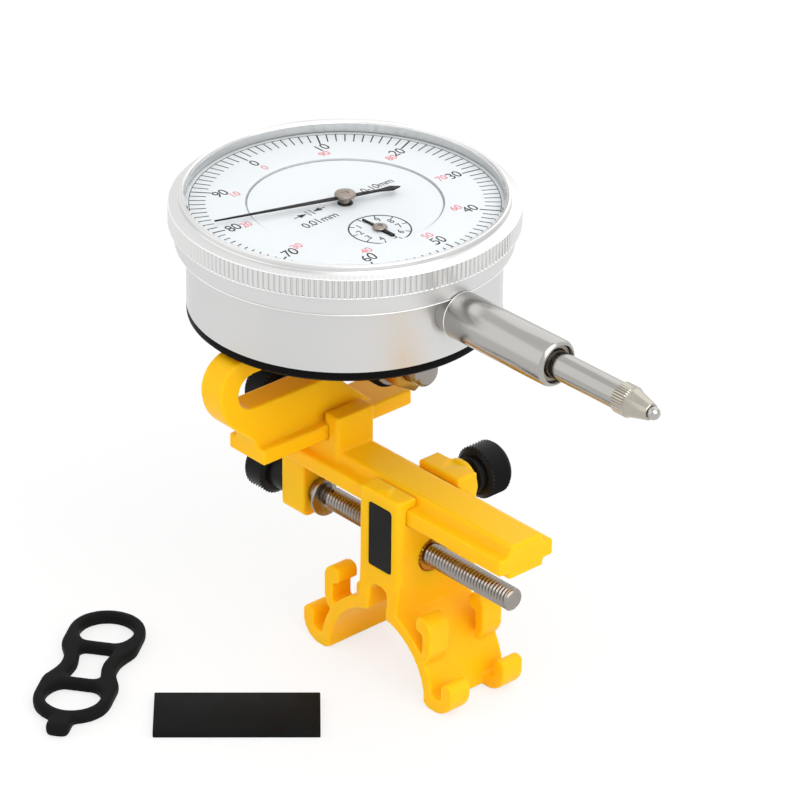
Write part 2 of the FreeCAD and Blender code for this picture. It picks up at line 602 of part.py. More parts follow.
# ---------------------------------------------------------------- indicator
def make_cover():
    """The rear cover with the lug that the pivot bolt carries."""
    top = size.cover_low + size.cover_thick
    body = turned("rear_cover", [(0, size.cover_low), (size.cover_r - 0.5, size.cover_low),
                                 (size.cover_r, size.cover_low + 0.5), (size.cover_r, top),
                                 (0, top)], DIAL_X, DIAL_Y)
    centre = size.bolt_y - size.dial_y
    ear = size.ear_r
    low = size.bolt_z - ear
    sketch = sketch_on(body, "YZ", "sizes.web_half + 2 * sizes.slide_gap")
    root = size.cover_low + 0.6
    outline(sketch, [
        (-size.ear_root_left, root), (-size.ear_root_left, size.cover_low, 0.4),
        (centre - ear, size.cover_low - 2.2, 2.0), (centre - ear, low, ear * 0.98),
        (centre + ear, low, ear * 0.98), (centre + ear, size.cover_low - 1.2, 1.2),
        (size.ear_root_right, size.cover_low, 0.3), (size.ear_root_right, root)])
    pad(body, sketch, "sizes.ear_thick")
    sketch = sketch_on(body, "YZ")
    circle(sketch, (centre, size.bolt_z), "sizes.bolt_r + sizes.turn_gap")
    pocket(body, sketch, "sizes.cover_r", back=True)
    for radius, deep in (("sizes.cover_screw_r + sizes.seat_gap", "sizes.cover_thick"),
                         ("sizes.cover_head_r + sizes.seat_gap", "sizes.cover_head_deep")):
        sketch = sketch_on(body, "XY", "sizes.cover_low")
        for turn in range(4):
            circle(sketch, polar(size.screw_circle, 45 + 90 * turn), radius)
        pocket(body, sketch, deep, back=True)
    return body


def make_cover_screws():
    """Four screws that hold the cover to the case's posts."""
    items = []
    for turn in range(4):
        spot = polar(size.screw_circle, 45 + 90 * turn)
        for part, radius, height in (
                ("shank", "sizes.cover_screw_r", "sizes.post_long + sizes.cover_thick - 0.1"),
                ("head", "sizes.cover_head_r", "sizes.cover_head_deep - sizes.seat_gap")):
            item = cylinder("cover_screw_%s_%d" % (part, turn), radius, height)
            place(item, "%s + %r" % (DIAL_X, spot[0]), "%s + %r" % (DIAL_Y, spot[1]),
                  "sizes.cover_low")
            items.append(item)
    return joined("cover_screws", items)


def make_case():
    """The case: a deep cup with a wider smooth ring on top and screw posts inside."""
    low = size.cover_low + size.cover_thick
    inner = size.cover_r - size.case_wall
    shelf = size.ring_top - size.spigot_deep
    body = turned("dial_case", [
        (inner, low), (size.cover_r, low), (size.cover_r, size.case_top),
        (size.ring_r - 0.3, size.case_top), (size.ring_r, size.case_top + 0.3),
        (size.ring_r, size.ring_top - 0.3), (size.ring_r - 0.3, size.ring_top),
        (size.ring_bore, size.ring_top), (size.ring_bore, shelf), (inner, shelf)],
        DIAL_X, DIAL_Y)
    sketch = sketch_on(body, "XY", "sizes.cover_low + sizes.cover_thick")
    for turn in range(4):
        spot = polar(size.screw_circle + size.post_shift, 45 + 90 * turn)
        circle(sketch, spot, "sizes.screw_post")
    pad(body, sketch, "sizes.post_long")
    sketch = sketch_on(body, "XY", "sizes.cover_low + sizes.cover_thick")
    for turn in range(4):
        circle(sketch, polar(size.screw_circle, 45 + 90 * turn),
               "sizes.cover_screw_r + sizes.seat_gap")
    pocket(body, sketch, "sizes.post_long", back=True)
    sketch = sketch_on(body, "YZ")
    circle(sketch, (0, size.stem_z), "sizes.root_r + sizes.seat_gap")
    pocket(body, sketch, "sizes.ring_r * 2", back=True)
    sketch = sketch_on(body, "YZ")
    circle(sketch, (0, size.stem_z), "sizes.cap_r + sizes.seat_gap")
    pocket(body, sketch, "sizes.ring_r * 2")
    return body


def make_bezel():
    """Bezel ring with its spigot, the crystal that it holds and the turning scale ring."""
    inner = size.ring_bore - size.spigot_wall - 0.05
    low = size.ring_top + size.slide_gap
    spigot = size.ring_bore - size.turn_gap
    ring_low = size.face_top - size.face_thick
    rim = size.bezel_in + size.rim_wide
    turned("bezel", [
        (inner, size.ring_top - size.spigot_deep + 0.1), (spigot, size.ring_top - 1.4), (spigot, low),
        (size.bezel_r - 0.3, low), (size.bezel_r, low + 0.3), (size.bezel_r, size.knurl_top),
        (rim, size.bezel_top - size.shoulder_drop), (rim, size.bezel_top, size.rim_round),
        (size.bezel_in, size.bezel_top, size.rim_round), (size.bezel_in, size.lip_low),
        (size.bezel_seat, size.lip_low), (size.bezel_seat, ring_low), (inner, ring_low)],
        DIAL_X, DIAL_Y)
    edge = size.bezel_seat - size.seat_gap
    rim = size.bezel_in - 0.3
    low = size.crystal_low
    high = low + size.crystal_thick - size.seat_gap
    wall = size.crystal_thick
    turned("crystal", [
        (edge, low), (edge, high), (rim, high), (rim - 0.7, high + size.crystal_rise, 1.6),
        (0, high + size.crystal_rise), (0, high + size.crystal_rise - wall),
        (rim - 0.7 - wall, high + size.crystal_rise - wall, 1.2), (rim - wall, low)],
        DIAL_X, DIAL_Y)
    tube("scale_ring", size.face_r + size.slide_gap, edge, ring_low, size.face_top,
         DIAL_X, DIAL_Y)


def make_stem():
    """The clamping stem, its bronze bush and the spindle cap on the far side."""
    tip = size.upper_x + size.stem_end
    root = size.stem_root
    bush_low = tip - size.bush_drop - size.bush_long
    cut = size.stem_chamfer
    turned("stem", [
        (size.stem_bore, root), (size.root_r, root), (size.root_r, size.root_end),
        (size.stem_r, size.root_end), (size.stem_r, tip - cut),
        (size.stem_r - cut, tip), (size.bush_r, tip), (size.bush_r, bush_low),
        (size.stem_bore, bush_low)], DIAL_X, DIAL_Y, "sizes.stem_z", "X")
    tube("stem_bush", size.spindle_r + size.turn_gap, size.bush_r - size.seat_gap, bush_low,
         bush_low + size.bush_long, DIAL_X, DIAL_Y, "sizes.stem_z", "X")
    start = size.cover_r - size.case_wall - 0.4
    finish = size.spindle_back + size.travel + 1.8
    bore = size.spindle_r + size.turn_gap
    turned("spindle_cap", [(bore, start), (size.cap_r, start), (size.cap_r, finish - 0.6),
                           (size.cap_r - 0.6, finish), (0, finish), (0, finish - size.cap_wall),
                           (bore, finish - size.cap_wall)],
           DIAL_X, DIAL_Y, "sizes.stem_z", "-X")


def make_spindle():
    """The measuring spindle with its rack flat, the knurled contact point and its ball."""
    collar = size.upper_x + size.collar_start
    body = turned("spindle", [
        (0, -size.spindle_back), (size.spindle_r - 0.3, -size.spindle_back),
        (size.spindle_r, -size.spindle_back + 0.3), (size.spindle_r, collar), (0, collar)],
        DIAL_X, DIAL_Y, "sizes.stem_z", "X")
    start = size.small_x - size.rack_pinion_r - 0.9
    finish = size.stem_root - 1.0
    deep = size.spindle_r + 1
    sketch = sketch_on(body, "XY", str(start))
    outline(sketch, [(-deep, -deep), (deep, -deep), (deep, -size.rack_flat),
                     (-deep, -size.rack_flat)])
    pocket(body, sketch, str(finish - start), back=True)
    cone = collar + size.collar_long
    tip = cone + size.cone_long
    turned("contact_point", [
        (0, collar), (size.collar_r - 0.3, collar), (size.collar_r, collar + 0.3),
        (size.collar_r, cone - 0.3), (size.collar_r - 0.3, cone), (size.cone_r, tip), (0, tip)],
        DIAL_X, DIAL_Y, "sizes.stem_z", "X")
    ball = doc.addObject("Part::Sphere", "ball")
    ball.setExpression("Radius", "sizes.ball_r")
    seat = cylinder("ball_room", "sizes.ball_r + 1", "sizes.ball_r * 3")
    place(ball, "%s + %r" % (DIAL_X, tip + size.ball_out - 0.4), DIAL_Y, "sizes.stem_z")
    place(seat, "%s + %r" % (DIAL_X, tip), DIAL_Y, "sizes.stem_z", "X")
    cut = doc.addObject("Part::Common", "contact_ball")
    cut.Base = ball
    cut.Tool = seat
    cut.Label = "contact_ball"
    parts.append(cut)


def make_movement():
    """Movement frame, dial face, arbors with their wheels, and the two hands."""
    plate_z = size.cover_low + size.cover_thick + size.post_long
    frame = turned("movement_frame", [(0, plate_z), (size.plate_r, plate_z),
                                      (size.plate_r, plate_z + size.plate_gauge),
                                      (0, plate_z + size.plate_gauge)], DIAL_X, DIAL_Y)
    spots = [(side * size.pillar_x, end * size.pillar_y) for side in (1, -1) for end in (1, -1)]
    sketch = sketch_on(frame, "XY", "sizes.cover_low + sizes.cover_thick + sizes.post_long")
    for spot in spots:
        circle(sketch, spot, "sizes.pillar_r")
    pad(frame, sketch, str(size.bridge_z - plate_z + 0.2))
    sketch = sketch_on(frame, "XY", "sizes.bridge_z")
    wide = size.bridge_x
    deep = size.bridge_y
    outline(sketch, [(-wide, -deep, 3), (wide, -deep, 3), (wide, deep, 3), (-wide, deep, 3)])
    pad(frame, sketch, "sizes.plate_gauge")
    for spot in ((0, 0), (size.small_x, -size.small_y)):
        sketch = sketch_on(frame, "XY", "sizes.bridge_z - 1")
        circle(sketch, spot, "sizes.arbor_r + sizes.turn_gap")
        pocket(frame, sketch, "sizes.plate_gauge + 3", back=True)
    sketch = sketch_on(frame, "XY", str(plate_z + 0.3))
    circle(sketch, (size.small_x, -size.small_y), "sizes.arbor_r + sizes.turn_gap")
    pocket(frame, sketch, "2", back=True)

    face_low = size.face_top - size.face_thick
    face = turned("dial_face", [(0, face_low), (size.face_r, face_low),
                                (size.face_r, size.face_top), (0, size.face_top)], DIAL_X, DIAL_Y)
    bridge_top = size.bridge_z + size.plate_gauge
    sketch = sketch_on(face, "XY", str(bridge_top))
    for spot in ((-size.foot_x, 7.0), (-size.foot_x, -7.0), (size.foot_x, size.foot_y)):
        circle(sketch, spot, "sizes.foot_r")
    pad(face, sketch, str(face_low - bridge_top + 0.1))
    for spot in ((0, 0), (size.small_x, -size.small_y)):
        sketch = sketch_on(face, "XY", "sizes.face_top + 1")
        circle(sketch, spot, "sizes.arbor_r + sizes.turn_gap")
        pocket(face, sketch, "sizes.face_thick + 1.5")

    wheel = size.wheel_z
    arbor = size.arbor_r
    hand = size.hand_z
    turned("main_arbor", [
        (0, size.bridge_z + 0.1), (arbor, size.bridge_z + 0.1), (arbor, wheel - 0.4),
        (size.pinion_r, wheel - 0.4), (size.pinion_r, wheel + size.wheel_thick + 0.4),
        (arbor, wheel + size.wheel_thick + 0.4), (arbor, hand - 0.9), (0, hand - 0.9)],
        DIAL_X, DIAL_Y)
    small_x = DIAL_X + " + sizes.small_x"
    small_y = DIAL_Y + " - sizes.small_y"
    turned("counter_arbor", [
        (0, plate_z + 0.4), (arbor, plate_z + 0.4), (arbor, size.rack_low),
        (size.rack_pinion_r, size.rack_low), (size.rack_pinion_r, size.rack_high),
        (arbor, size.rack_high), (arbor, wheel), (size.wheel_r, wheel),
        (size.wheel_r, wheel + size.wheel_thick), (arbor, wheel + size.wheel_thick),
        (arbor, size.small_hand_z - 0.5), (0, size.small_hand_z - 0.5)], small_x, small_y)

    body = new_body("main_hand")
    peak = -size.hand_tail + size.tail_peak
    root = -size.hand_tail + size.tail_root
    half = size.hand_half
    sketch = sketch_on(body, "XY", "sizes.hand_z")
    outline(sketch, [
        (-size.hand_tail, 0), (peak, -size.tail_half), (root, -size.tail_neck), (0, -half),
        (size.hand_tip, -size.tip_half), (size.hand_tip, size.tip_half), (0, half),
        (root, size.tail_neck), (peak, size.tail_half)])
    pad(body, sketch, "sizes.hand_thick")
    sketch = sketch_on(body, "XY", "sizes.hand_z - 0.9")
    circle(sketch, (0, 0), "sizes.hub_r")
    pad(body, sketch, "0.9 + sizes.hand_thick")
    place(body, DIAL_X, DIAL_Y, turn=size.hand_turn)
    high = size.hand_z + size.hand_thick
    disc = size.cap_disc_r
    turned("main_hand_cap", [(0, high), (disc - 0.2, high), (disc, high + 0.2),
                             (disc, high + size.cap_disc_thick - 0.2),
                             (disc - 0.2, high + size.cap_disc_thick),
                             (0, high + size.cap_disc_thick)], DIAL_X, DIAL_Y)

    body = new_body("counter_hand")
    sketch = sketch_on(body, "XY", "sizes.small_hand_z")
    half = size.small_half
    point = size.tip_half
    outline(sketch, [(-size.small_tail, -half), (0, -half), (size.small_tip, -point),
                     (size.small_tip, point), (0, half), (-size.small_tail, half)])
    pad(body, sketch, "sizes.hand_thick")
    sketch = sketch_on(body, "XY", "sizes.small_hand_z - 0.5")
    circle(sketch, (0, 0), "sizes.hub_r - 0.2")
    pad(body, sketch, "0.5 + sizes.hand_thick")
    place(body, small_x, small_y, turn=size.small_turn)
    high = size.small_hand_z + size.hand_thick
    disc = size.small_cap_r
    turned("counter_hand_cap", [(0, high), (disc, high), (disc, high + size.small_cap_thick - 0.15),
                                (disc - 0.15, high + size.small_cap_thick),
                                (0, high + size.small_cap_thick)], small_x, small_y)


# ---------------------------------------------------------------- strap and pad
def make_strap():
    """The rubber strap: two rings, a waisted web between them and a pull tab."""
    body = new_body("rubber_strap")
    ring = size.strap_ring_r
    half = size.strap_pitch / 2
    waist = size.strap_waist
    shoulder = half - size.strap_shoulder
    curve = size.strap_curve
    bend = size.shoulder_round
    sketch = sketch_on(body, "XY")
    outline(sketch, [
        (half + ring, -ring, ring * 0.99), (half + ring, ring, ring * 0.99),
        (shoulder, ring, bend), (0, waist, curve), (-shoulder, ring, bend),
        (-half - ring, ring, ring * 0.99), (-half - ring, -ring, ring * 0.99),
        (-shoulder, -ring, bend), (0, -waist, curve), (shoulder, -ring, bend)])
    pad(body, sketch, "sizes.strap_thick")
    sketch = sketch_on(body, "XY")
    tab = size.tab_half
    reach = -half - size.tab_reach
    inside = -half - ring + size.tab_lap
    outline(sketch, [(reach, -tab, size.tab_round), (inside, -tab), (inside, tab),
                     (reach, tab, size.tab_round)])
    pad(body, sketch, "sizes.strap_thick")
    hole = size.strap_hole_r
    flat_side = hole * 0.8
    corner = math.sqrt(hole * hole - flat_side * flat_side)
    sketch = sketch_on(body, "XY")
    for side in (1, -1):
        chord = side * (half - flat_side)
        first = Vector(chord, corner, 0)
        last = Vector(chord, -corner, 0)
        sketch.addGeometry(Part.Arc(first, Vector(side * (half + hole), 0, 0), last), False)
        sketch.addGeometry(Part.LineSegment(last, first), False)
    window = half - flat_side - size.strap_bar
    rail = waist - size.strap_bar
    wide = rail + size.window_flare
    corner = size.window_round
    outline(sketch, [(-window, -wide, corner), (0, -rail, curve), (window, -wide, corner),
                     (window, wide, corner), (0, rail, curve), (-window, wide, corner)])
    pocket(body, sketch, "sizes.strap_thick", back=True)
    place(body, "sizes.strap_x", "sizes.strap_y", "-sizes.foot_drop", turn=size.strap_turn)


def make_pad():
    """The flat rubber pad that lines the arch."""
    item = box("rubber_pad", "sizes.pad_size", "sizes.pad_wide", "sizes.pad_thick")
    item.Label = "rubber_pad"
    place(item, "sizes.pad_x", "sizes.pad_y", "-sizes.foot_drop", turn=size.pad_turn)
    parts.append(item)


make_saddle()
make_name_plate()
make_lower_rail()
make_cross_rail()
make_adjuster()
make_clamps()
make_pivot()
make_cover()
make_cover_screws()
make_case()
make_bezel()
make_stem()
make_spindle()
make_movement()
make_strap()
make_pad()
doc.recompute()

for item in doc.Objects:
    if "Invalid" in item.State or "Error" in item.State:
        raise RuntimeError("%s failed: %s" % (item.Label, item.State))
for part in parts:
    shape = part.Shape
    if shape.isNull() or not shape.isValid() or not shape.Solids:
        raise RuntimeError("%s has no valid solid" % part.Label)
os.makedirs("parts", exist_ok=True)
for part in parts:
    part.Shape.exportStep("parts/%s.step" % part.Label)
    print(part.Label, len(part.Shape.Solids), round(part.Shape.Volume, 2))
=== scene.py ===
import json
import math

import bmesh
import bpy
from mathutils import Matrix, Vector

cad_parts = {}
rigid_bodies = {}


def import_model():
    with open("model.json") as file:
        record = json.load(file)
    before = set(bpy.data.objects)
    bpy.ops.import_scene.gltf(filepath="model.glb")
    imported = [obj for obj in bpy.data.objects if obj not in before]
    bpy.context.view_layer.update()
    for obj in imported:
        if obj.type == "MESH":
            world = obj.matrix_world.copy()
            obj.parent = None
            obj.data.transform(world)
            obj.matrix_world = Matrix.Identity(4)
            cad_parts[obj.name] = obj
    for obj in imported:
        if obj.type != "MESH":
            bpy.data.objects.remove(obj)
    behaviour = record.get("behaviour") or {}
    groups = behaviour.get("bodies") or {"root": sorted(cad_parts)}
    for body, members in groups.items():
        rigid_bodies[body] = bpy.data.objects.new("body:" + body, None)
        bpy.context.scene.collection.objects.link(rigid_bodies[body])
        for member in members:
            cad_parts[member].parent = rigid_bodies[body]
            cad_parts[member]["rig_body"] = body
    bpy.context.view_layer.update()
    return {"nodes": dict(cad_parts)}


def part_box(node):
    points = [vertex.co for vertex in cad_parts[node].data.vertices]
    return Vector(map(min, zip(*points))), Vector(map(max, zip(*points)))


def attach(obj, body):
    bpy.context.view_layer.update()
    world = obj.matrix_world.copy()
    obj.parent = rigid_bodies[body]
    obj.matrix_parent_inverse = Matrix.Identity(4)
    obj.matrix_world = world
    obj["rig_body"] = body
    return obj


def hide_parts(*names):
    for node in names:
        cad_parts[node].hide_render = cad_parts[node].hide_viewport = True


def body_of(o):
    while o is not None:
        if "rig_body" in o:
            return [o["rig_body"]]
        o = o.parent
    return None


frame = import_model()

mm = 0.001
# the axes of the main dial and the small dial, in metres and in mm, then those of the
# stem and the long screw in mm
dialSpot = Vector((-21.25, 3.4, 0)) * mm
smallSpot = Vector((-10.35, 1.26, 0)) * mm
dialPlace, smallPlace = dialSpot / mm, smallSpot / mm
stemPlace = Vector((-21.25, 3.4, 66.3))
screwPlace = Vector((0, 0, 22.1))
print("frame loaded:", len(frame["nodes"]), "nodes")

# camera, floor and light
cameraSet = {"place": (504.28, -465.03, 421.87), "azimuth": 47.527, "elevation": 28.524,
             "roll": 0.695, "lens": 216.05, "sensor": 36, "near": 0.01, "far": 20}


def makeCamera(values):
    camera = bpy.data.objects.new("camera", bpy.data.cameras.new("camera"))
    bpy.context.collection.objects.link(camera)
    camera.data.lens = values["lens"]
    camera.data.sensor_width = values["sensor"]
    camera.data.clip_start = values["near"]
    camera.data.clip_end = values["far"]
    camera.location = Vector(values["place"]) * mm
    turn, rise = math.radians(values["azimuth"]), math.radians(values["elevation"])
    right = Vector((math.cos(turn), math.sin(turn), 0))
    up = Vector((-math.sin(turn) * math.sin(rise), math.cos(turn) * math.sin(rise),
                 math.cos(rise)))
    tilt = math.radians(values["roll"])
    side = right * math.cos(tilt) + up * math.sin(tilt)
    top = up * math.cos(tilt) - right * math.sin(tilt)
    back = side.cross(top)
    camera.rotation_euler = Matrix((side, top, back)).transposed().to_euler()
    bpy.context.scene.camera = camera


makeCamera(cameraSet)

lightSet = {"world": 0.8, "aim": (0, 0, 0.04),
            "lamps": (("key", (0.85, -0.10, 0.95), 1.4, 10.5),
                      ("fill", (-0.55, -0.85, 0.45), 1.2, 1.8),
                      ("back", (-0.3, 0.8, 0.8), 1.2, 2.5))}
floorSet = {"drop": 0.00061, "size": 8, "shade": 0.9, "roughness": 0.9, "glow": 0.72}


def makeLamp(name, place, size, power):
    lamp = bpy.data.objects.new(name, bpy.data.lights.new(name, "AREA"))
    bpy.context.collection.objects.link(lamp)
    lamp.data.energy = power
    lamp.data.size = size
    lamp.location = place
    aim = Vector(lightSet["aim"]) - Vector(place)
    lamp.rotation_euler = aim.to_track_quat("-Z", "Y").to_euler()


def backgroundRay(nodes, links):
    # one for rays that the camera sees straight, in metal or through glass
    path = nodes.new("ShaderNodeLightPath")
    seen = path.outputs["Is Camera Ray"]
    for label in ("Is Glossy Ray", "Is Transmission Ray"):
        either = nodes.new("ShaderNodeMath")
        either.operation = "MAXIMUM"
        links.new(seen, either.inputs[0])
        links.new(path.outputs[label], either.inputs[1])
        seen = either.outputs[0]
    return seen


def whiteGlow(nodes, kind, strength):
    glow = nodes.new(kind)
    glow.inputs["Color"].default_value = (1, 1, 1, 1)
    glow.inputs["Strength"].default_value = strength
    return glow.outputs[0]


def mixShaders(nodes, links, factor, first, second):
    mix = nodes.new("ShaderNodeMixShader")
    links.new(factor, mix.inputs["Fac"])
    links.new(first, mix.inputs[1])
    links.new(second, mix.inputs[2])
    return mix.outputs["Shader"]


def makeWorld(strength):
    world = bpy.data.worlds.new("studio")
    bpy.context.scene.world = world
    world.use_nodes = True
    nodes, links = world.node_tree.nodes, world.node_tree.links
    nodes.clear()
    output = nodes.new("ShaderNodeOutputWorld")
    light = whiteGlow(nodes, "ShaderNodeBackground", strength)
    white = whiteGlow(nodes, "ShaderNodeBackground", 1.0)
    shader = mixShaders(nodes, links, backgroundRay(nodes, links), light, white)
    links.new(shader, output.inputs["Surface"])


def makeFloor(values):
    bpy.ops.object.select_all(action="DESELECT")
    bpy.ops.mesh.primitive_plane_add(size=values["size"], location=(0, 0, -values["drop"]))
    floor = bpy.context.object
    floor.name = "floor"
    material = bpy.data.materials.new("palePaper")
    material.use_nodes = True
    nodes, links = material.node_tree.nodes, material.node_tree.links
    principled = nodes["Principled BSDF"]
    principled.inputs["Base Color"].default_value = (*[values["shade"]] * 3, 1)
    principled.inputs["Roughness"].default_value = values["roughness"]
    share = nodes.new("ShaderNodeMath")
    share.operation = "MULTIPLY"
    share.inputs[1].default_value = values["glow"]
    links.new(backgroundRay(nodes, links), share.inputs[0])
    glow = whiteGlow(nodes, "ShaderNodeEmission", 1.0)
    shader = mixShaders(nodes, links, share.outputs[0], principled.outputs["BSDF"], glow)
    links.new(shader, nodes["Material Output"].inputs["Surface"])
    floor.data.materials.append(material)


makeWorld(lightSet["world"])
makeFloor(floorSet)
for lampRow in lightSet["lamps"]:
    makeLamp(*lampRow)
bpy.context.scene.view_settings.view_transform = "Standard"
print("camera, floor and light are set")


# effects that several materials share
def startGroup(name, inputs, outputs):
    group = bpy.data.node_groups.new(name, "ShaderNodeTree")
    for label, kind, value in inputs:
        socket = group.interface.new_socket(label, in_out="INPUT", socket_type=kind)
        if value is not None:
            socket.default_value = value
    for label, kind in outputs:
        group.interface.new_socket(label, in_out="OUTPUT", socket_type=kind)
    entry = group.nodes.new("NodeGroupInput")
    leave = group.nodes.new("NodeGroupOutput")
    return group, entry, leave


def makeSurfaceGrain():
    # fine grain for the bump, and broad cloudy patches for colour and roughness
    group, entry, leave = startGroup(
        "surfaceGrain",
        (("Fine Scale", "NodeSocketFloat", 900.0), ("Patch Scale", "NodeSocketFloat", 60.0),
         ("Roughness Low", "NodeSocketFloat", 0.3), ("Roughness High", "NodeSocketFloat", 0.4)),
        (("Height", "NodeSocketFloat"), ("Patch", "NodeSocketFloat"),
         ("Roughness", "NodeSocketFloat")))
    nodes, links = group.nodes, group.links
    place = nodes.new("ShaderNodeTexCoord")
    fine = nodes.new("ShaderNodeTexNoise")
    patch = nodes.new("ShaderNodeTexNoise")
    fine.inputs["Detail"].default_value = 3
    patch.inputs["Detail"].default_value = 4
    links.new(place.outputs["Object"], fine.inputs["Vector"])
    links.new(place.outputs["Object"], patch.inputs["Vector"])
    links.new(entry.outputs["Fine Scale"], fine.inputs["Scale"])
    links.new(entry.outputs["Patch Scale"], patch.inputs["Scale"])
    spread = nodes.new("ShaderNodeMapRange")
    spread.inputs["From Min"].default_value = 0.35
    spread.inputs["From Max"].default_value = 0.65
    links.new(patch.outputs["Fac"], spread.inputs["Value"])
    links.new(entry.outputs["Roughness Low"], spread.inputs["To Min"])
    links.new(entry.outputs["Roughness High"], spread.inputs["To Max"])
    links.new(fine.outputs["Fac"], leave.inputs["Height"])
    links.new(patch.outputs["Fac"], leave.inputs["Patch"])
    links.new(spread.outputs["Result"], leave.inputs["Roughness"])
    return group


def makeTurnedLines():
    # lathe lines round an axis: rings that change along the axis only
    group, entry, leave = startGroup(
        "turnedLines",
        (("Along X", "NodeSocketFloat", 0.0), ("Along Y", "NodeSocketFloat", 0.0),
         ("Along Z", "NodeSocketFloat", 1.0), ("Density", "NodeSocketFloat", 4000.0)),
        (("Height", "NodeSocketFloat"),))
    nodes, links = group.nodes, group.links
    place = nodes.new("ShaderNodeTexCoord")
    scale = nodes.new("ShaderNodeCombineXYZ")
    product = nodes.new("ShaderNodeVectorMath")
    product.operation = "MULTIPLY"
    noise = nodes.new("ShaderNodeTexNoise")
    noise.inputs["Detail"].default_value = 2
    for label, socket in (("Along X", "X"), ("Along Y", "Y"), ("Along Z", "Z")):
        links.new(entry.outputs[label], scale.inputs[socket])
    links.new(place.outputs["Object"], product.inputs[0])
    links.new(scale.outputs["Vector"], product.inputs[1])
    links.new(product.outputs["Vector"], noise.inputs["Vector"])
    links.new(entry.outputs["Density"], noise.inputs["Scale"])
    links.new(noise.outputs["Fac"], leave.inputs["Height"])
    return group


surfaceGrain = makeSurfaceGrain()
turnedLines = makeTurnedLines()


# materials
def mixColors(nodes, links, factor, first, second):
    mix = nodes.new("ShaderNodeMix")
    mix.data_type = "RGBA"
    mix.inputs[6].default_value = (*first, 1)
    mix.inputs[7].default_value = (*second, 1)
    links.new(factor, mix.inputs["Factor"])
    return mix.outputs[2]


bumpDepth = 0.00002


def basicMaterial(name, values):
    material = bpy.data.materials.new(name)
    material.use_nodes = True
    nodes, links = material.node_tree.nodes, material.node_tree.links
    principled = nodes["Principled BSDF"]
    for label in ("Metallic", "Specular IOR Level", "Subsurface Weight", "Subsurface Scale",
                  "Subsurface Radius"):
        if label in values:
            principled.inputs[label].default_value = values[label]
    grain = nodes.new("ShaderNodeGroup")
    grain.node_tree = surfaceGrain
    roughnessLow, roughnessHigh = values["roughness"]
    for label, amount in (("Fine Scale", values["fineScale"]),
                          ("Patch Scale", values["patchScale"]),
                          ("Roughness Low", roughnessLow), ("Roughness High", roughnessHigh)):
        grain.inputs[label].default_value = amount
    color = mixColors(nodes, links, grain.outputs["Patch"], *values["colors"])
    links.new(color, principled.inputs["Base Color"])
    links.new(grain.outputs["Roughness"], principled.inputs["Roughness"])
    bump = nodes.new("ShaderNodeBump")
    bump.inputs["Strength"].default_value = values["bump"]
    bump.inputs["Distance"].default_value = values.get("depth", bumpDepth)
    source = grain.outputs["Height"]
    if "lines" in values:
        lines = nodes.new("ShaderNodeGroup")
        lines.node_tree = turnedLines
        for label, amount in zip(("Along X", "Along Y", "Along Z"), values["lines"]):
            lines.inputs[label].default_value = amount
        lines.inputs["Density"].default_value = values["density"]
        source = lines.outputs["Height"]
    links.new(source, bump.inputs["Height"])
    links.new(bump.outputs["Normal"], principled.inputs["Normal"])
    return material


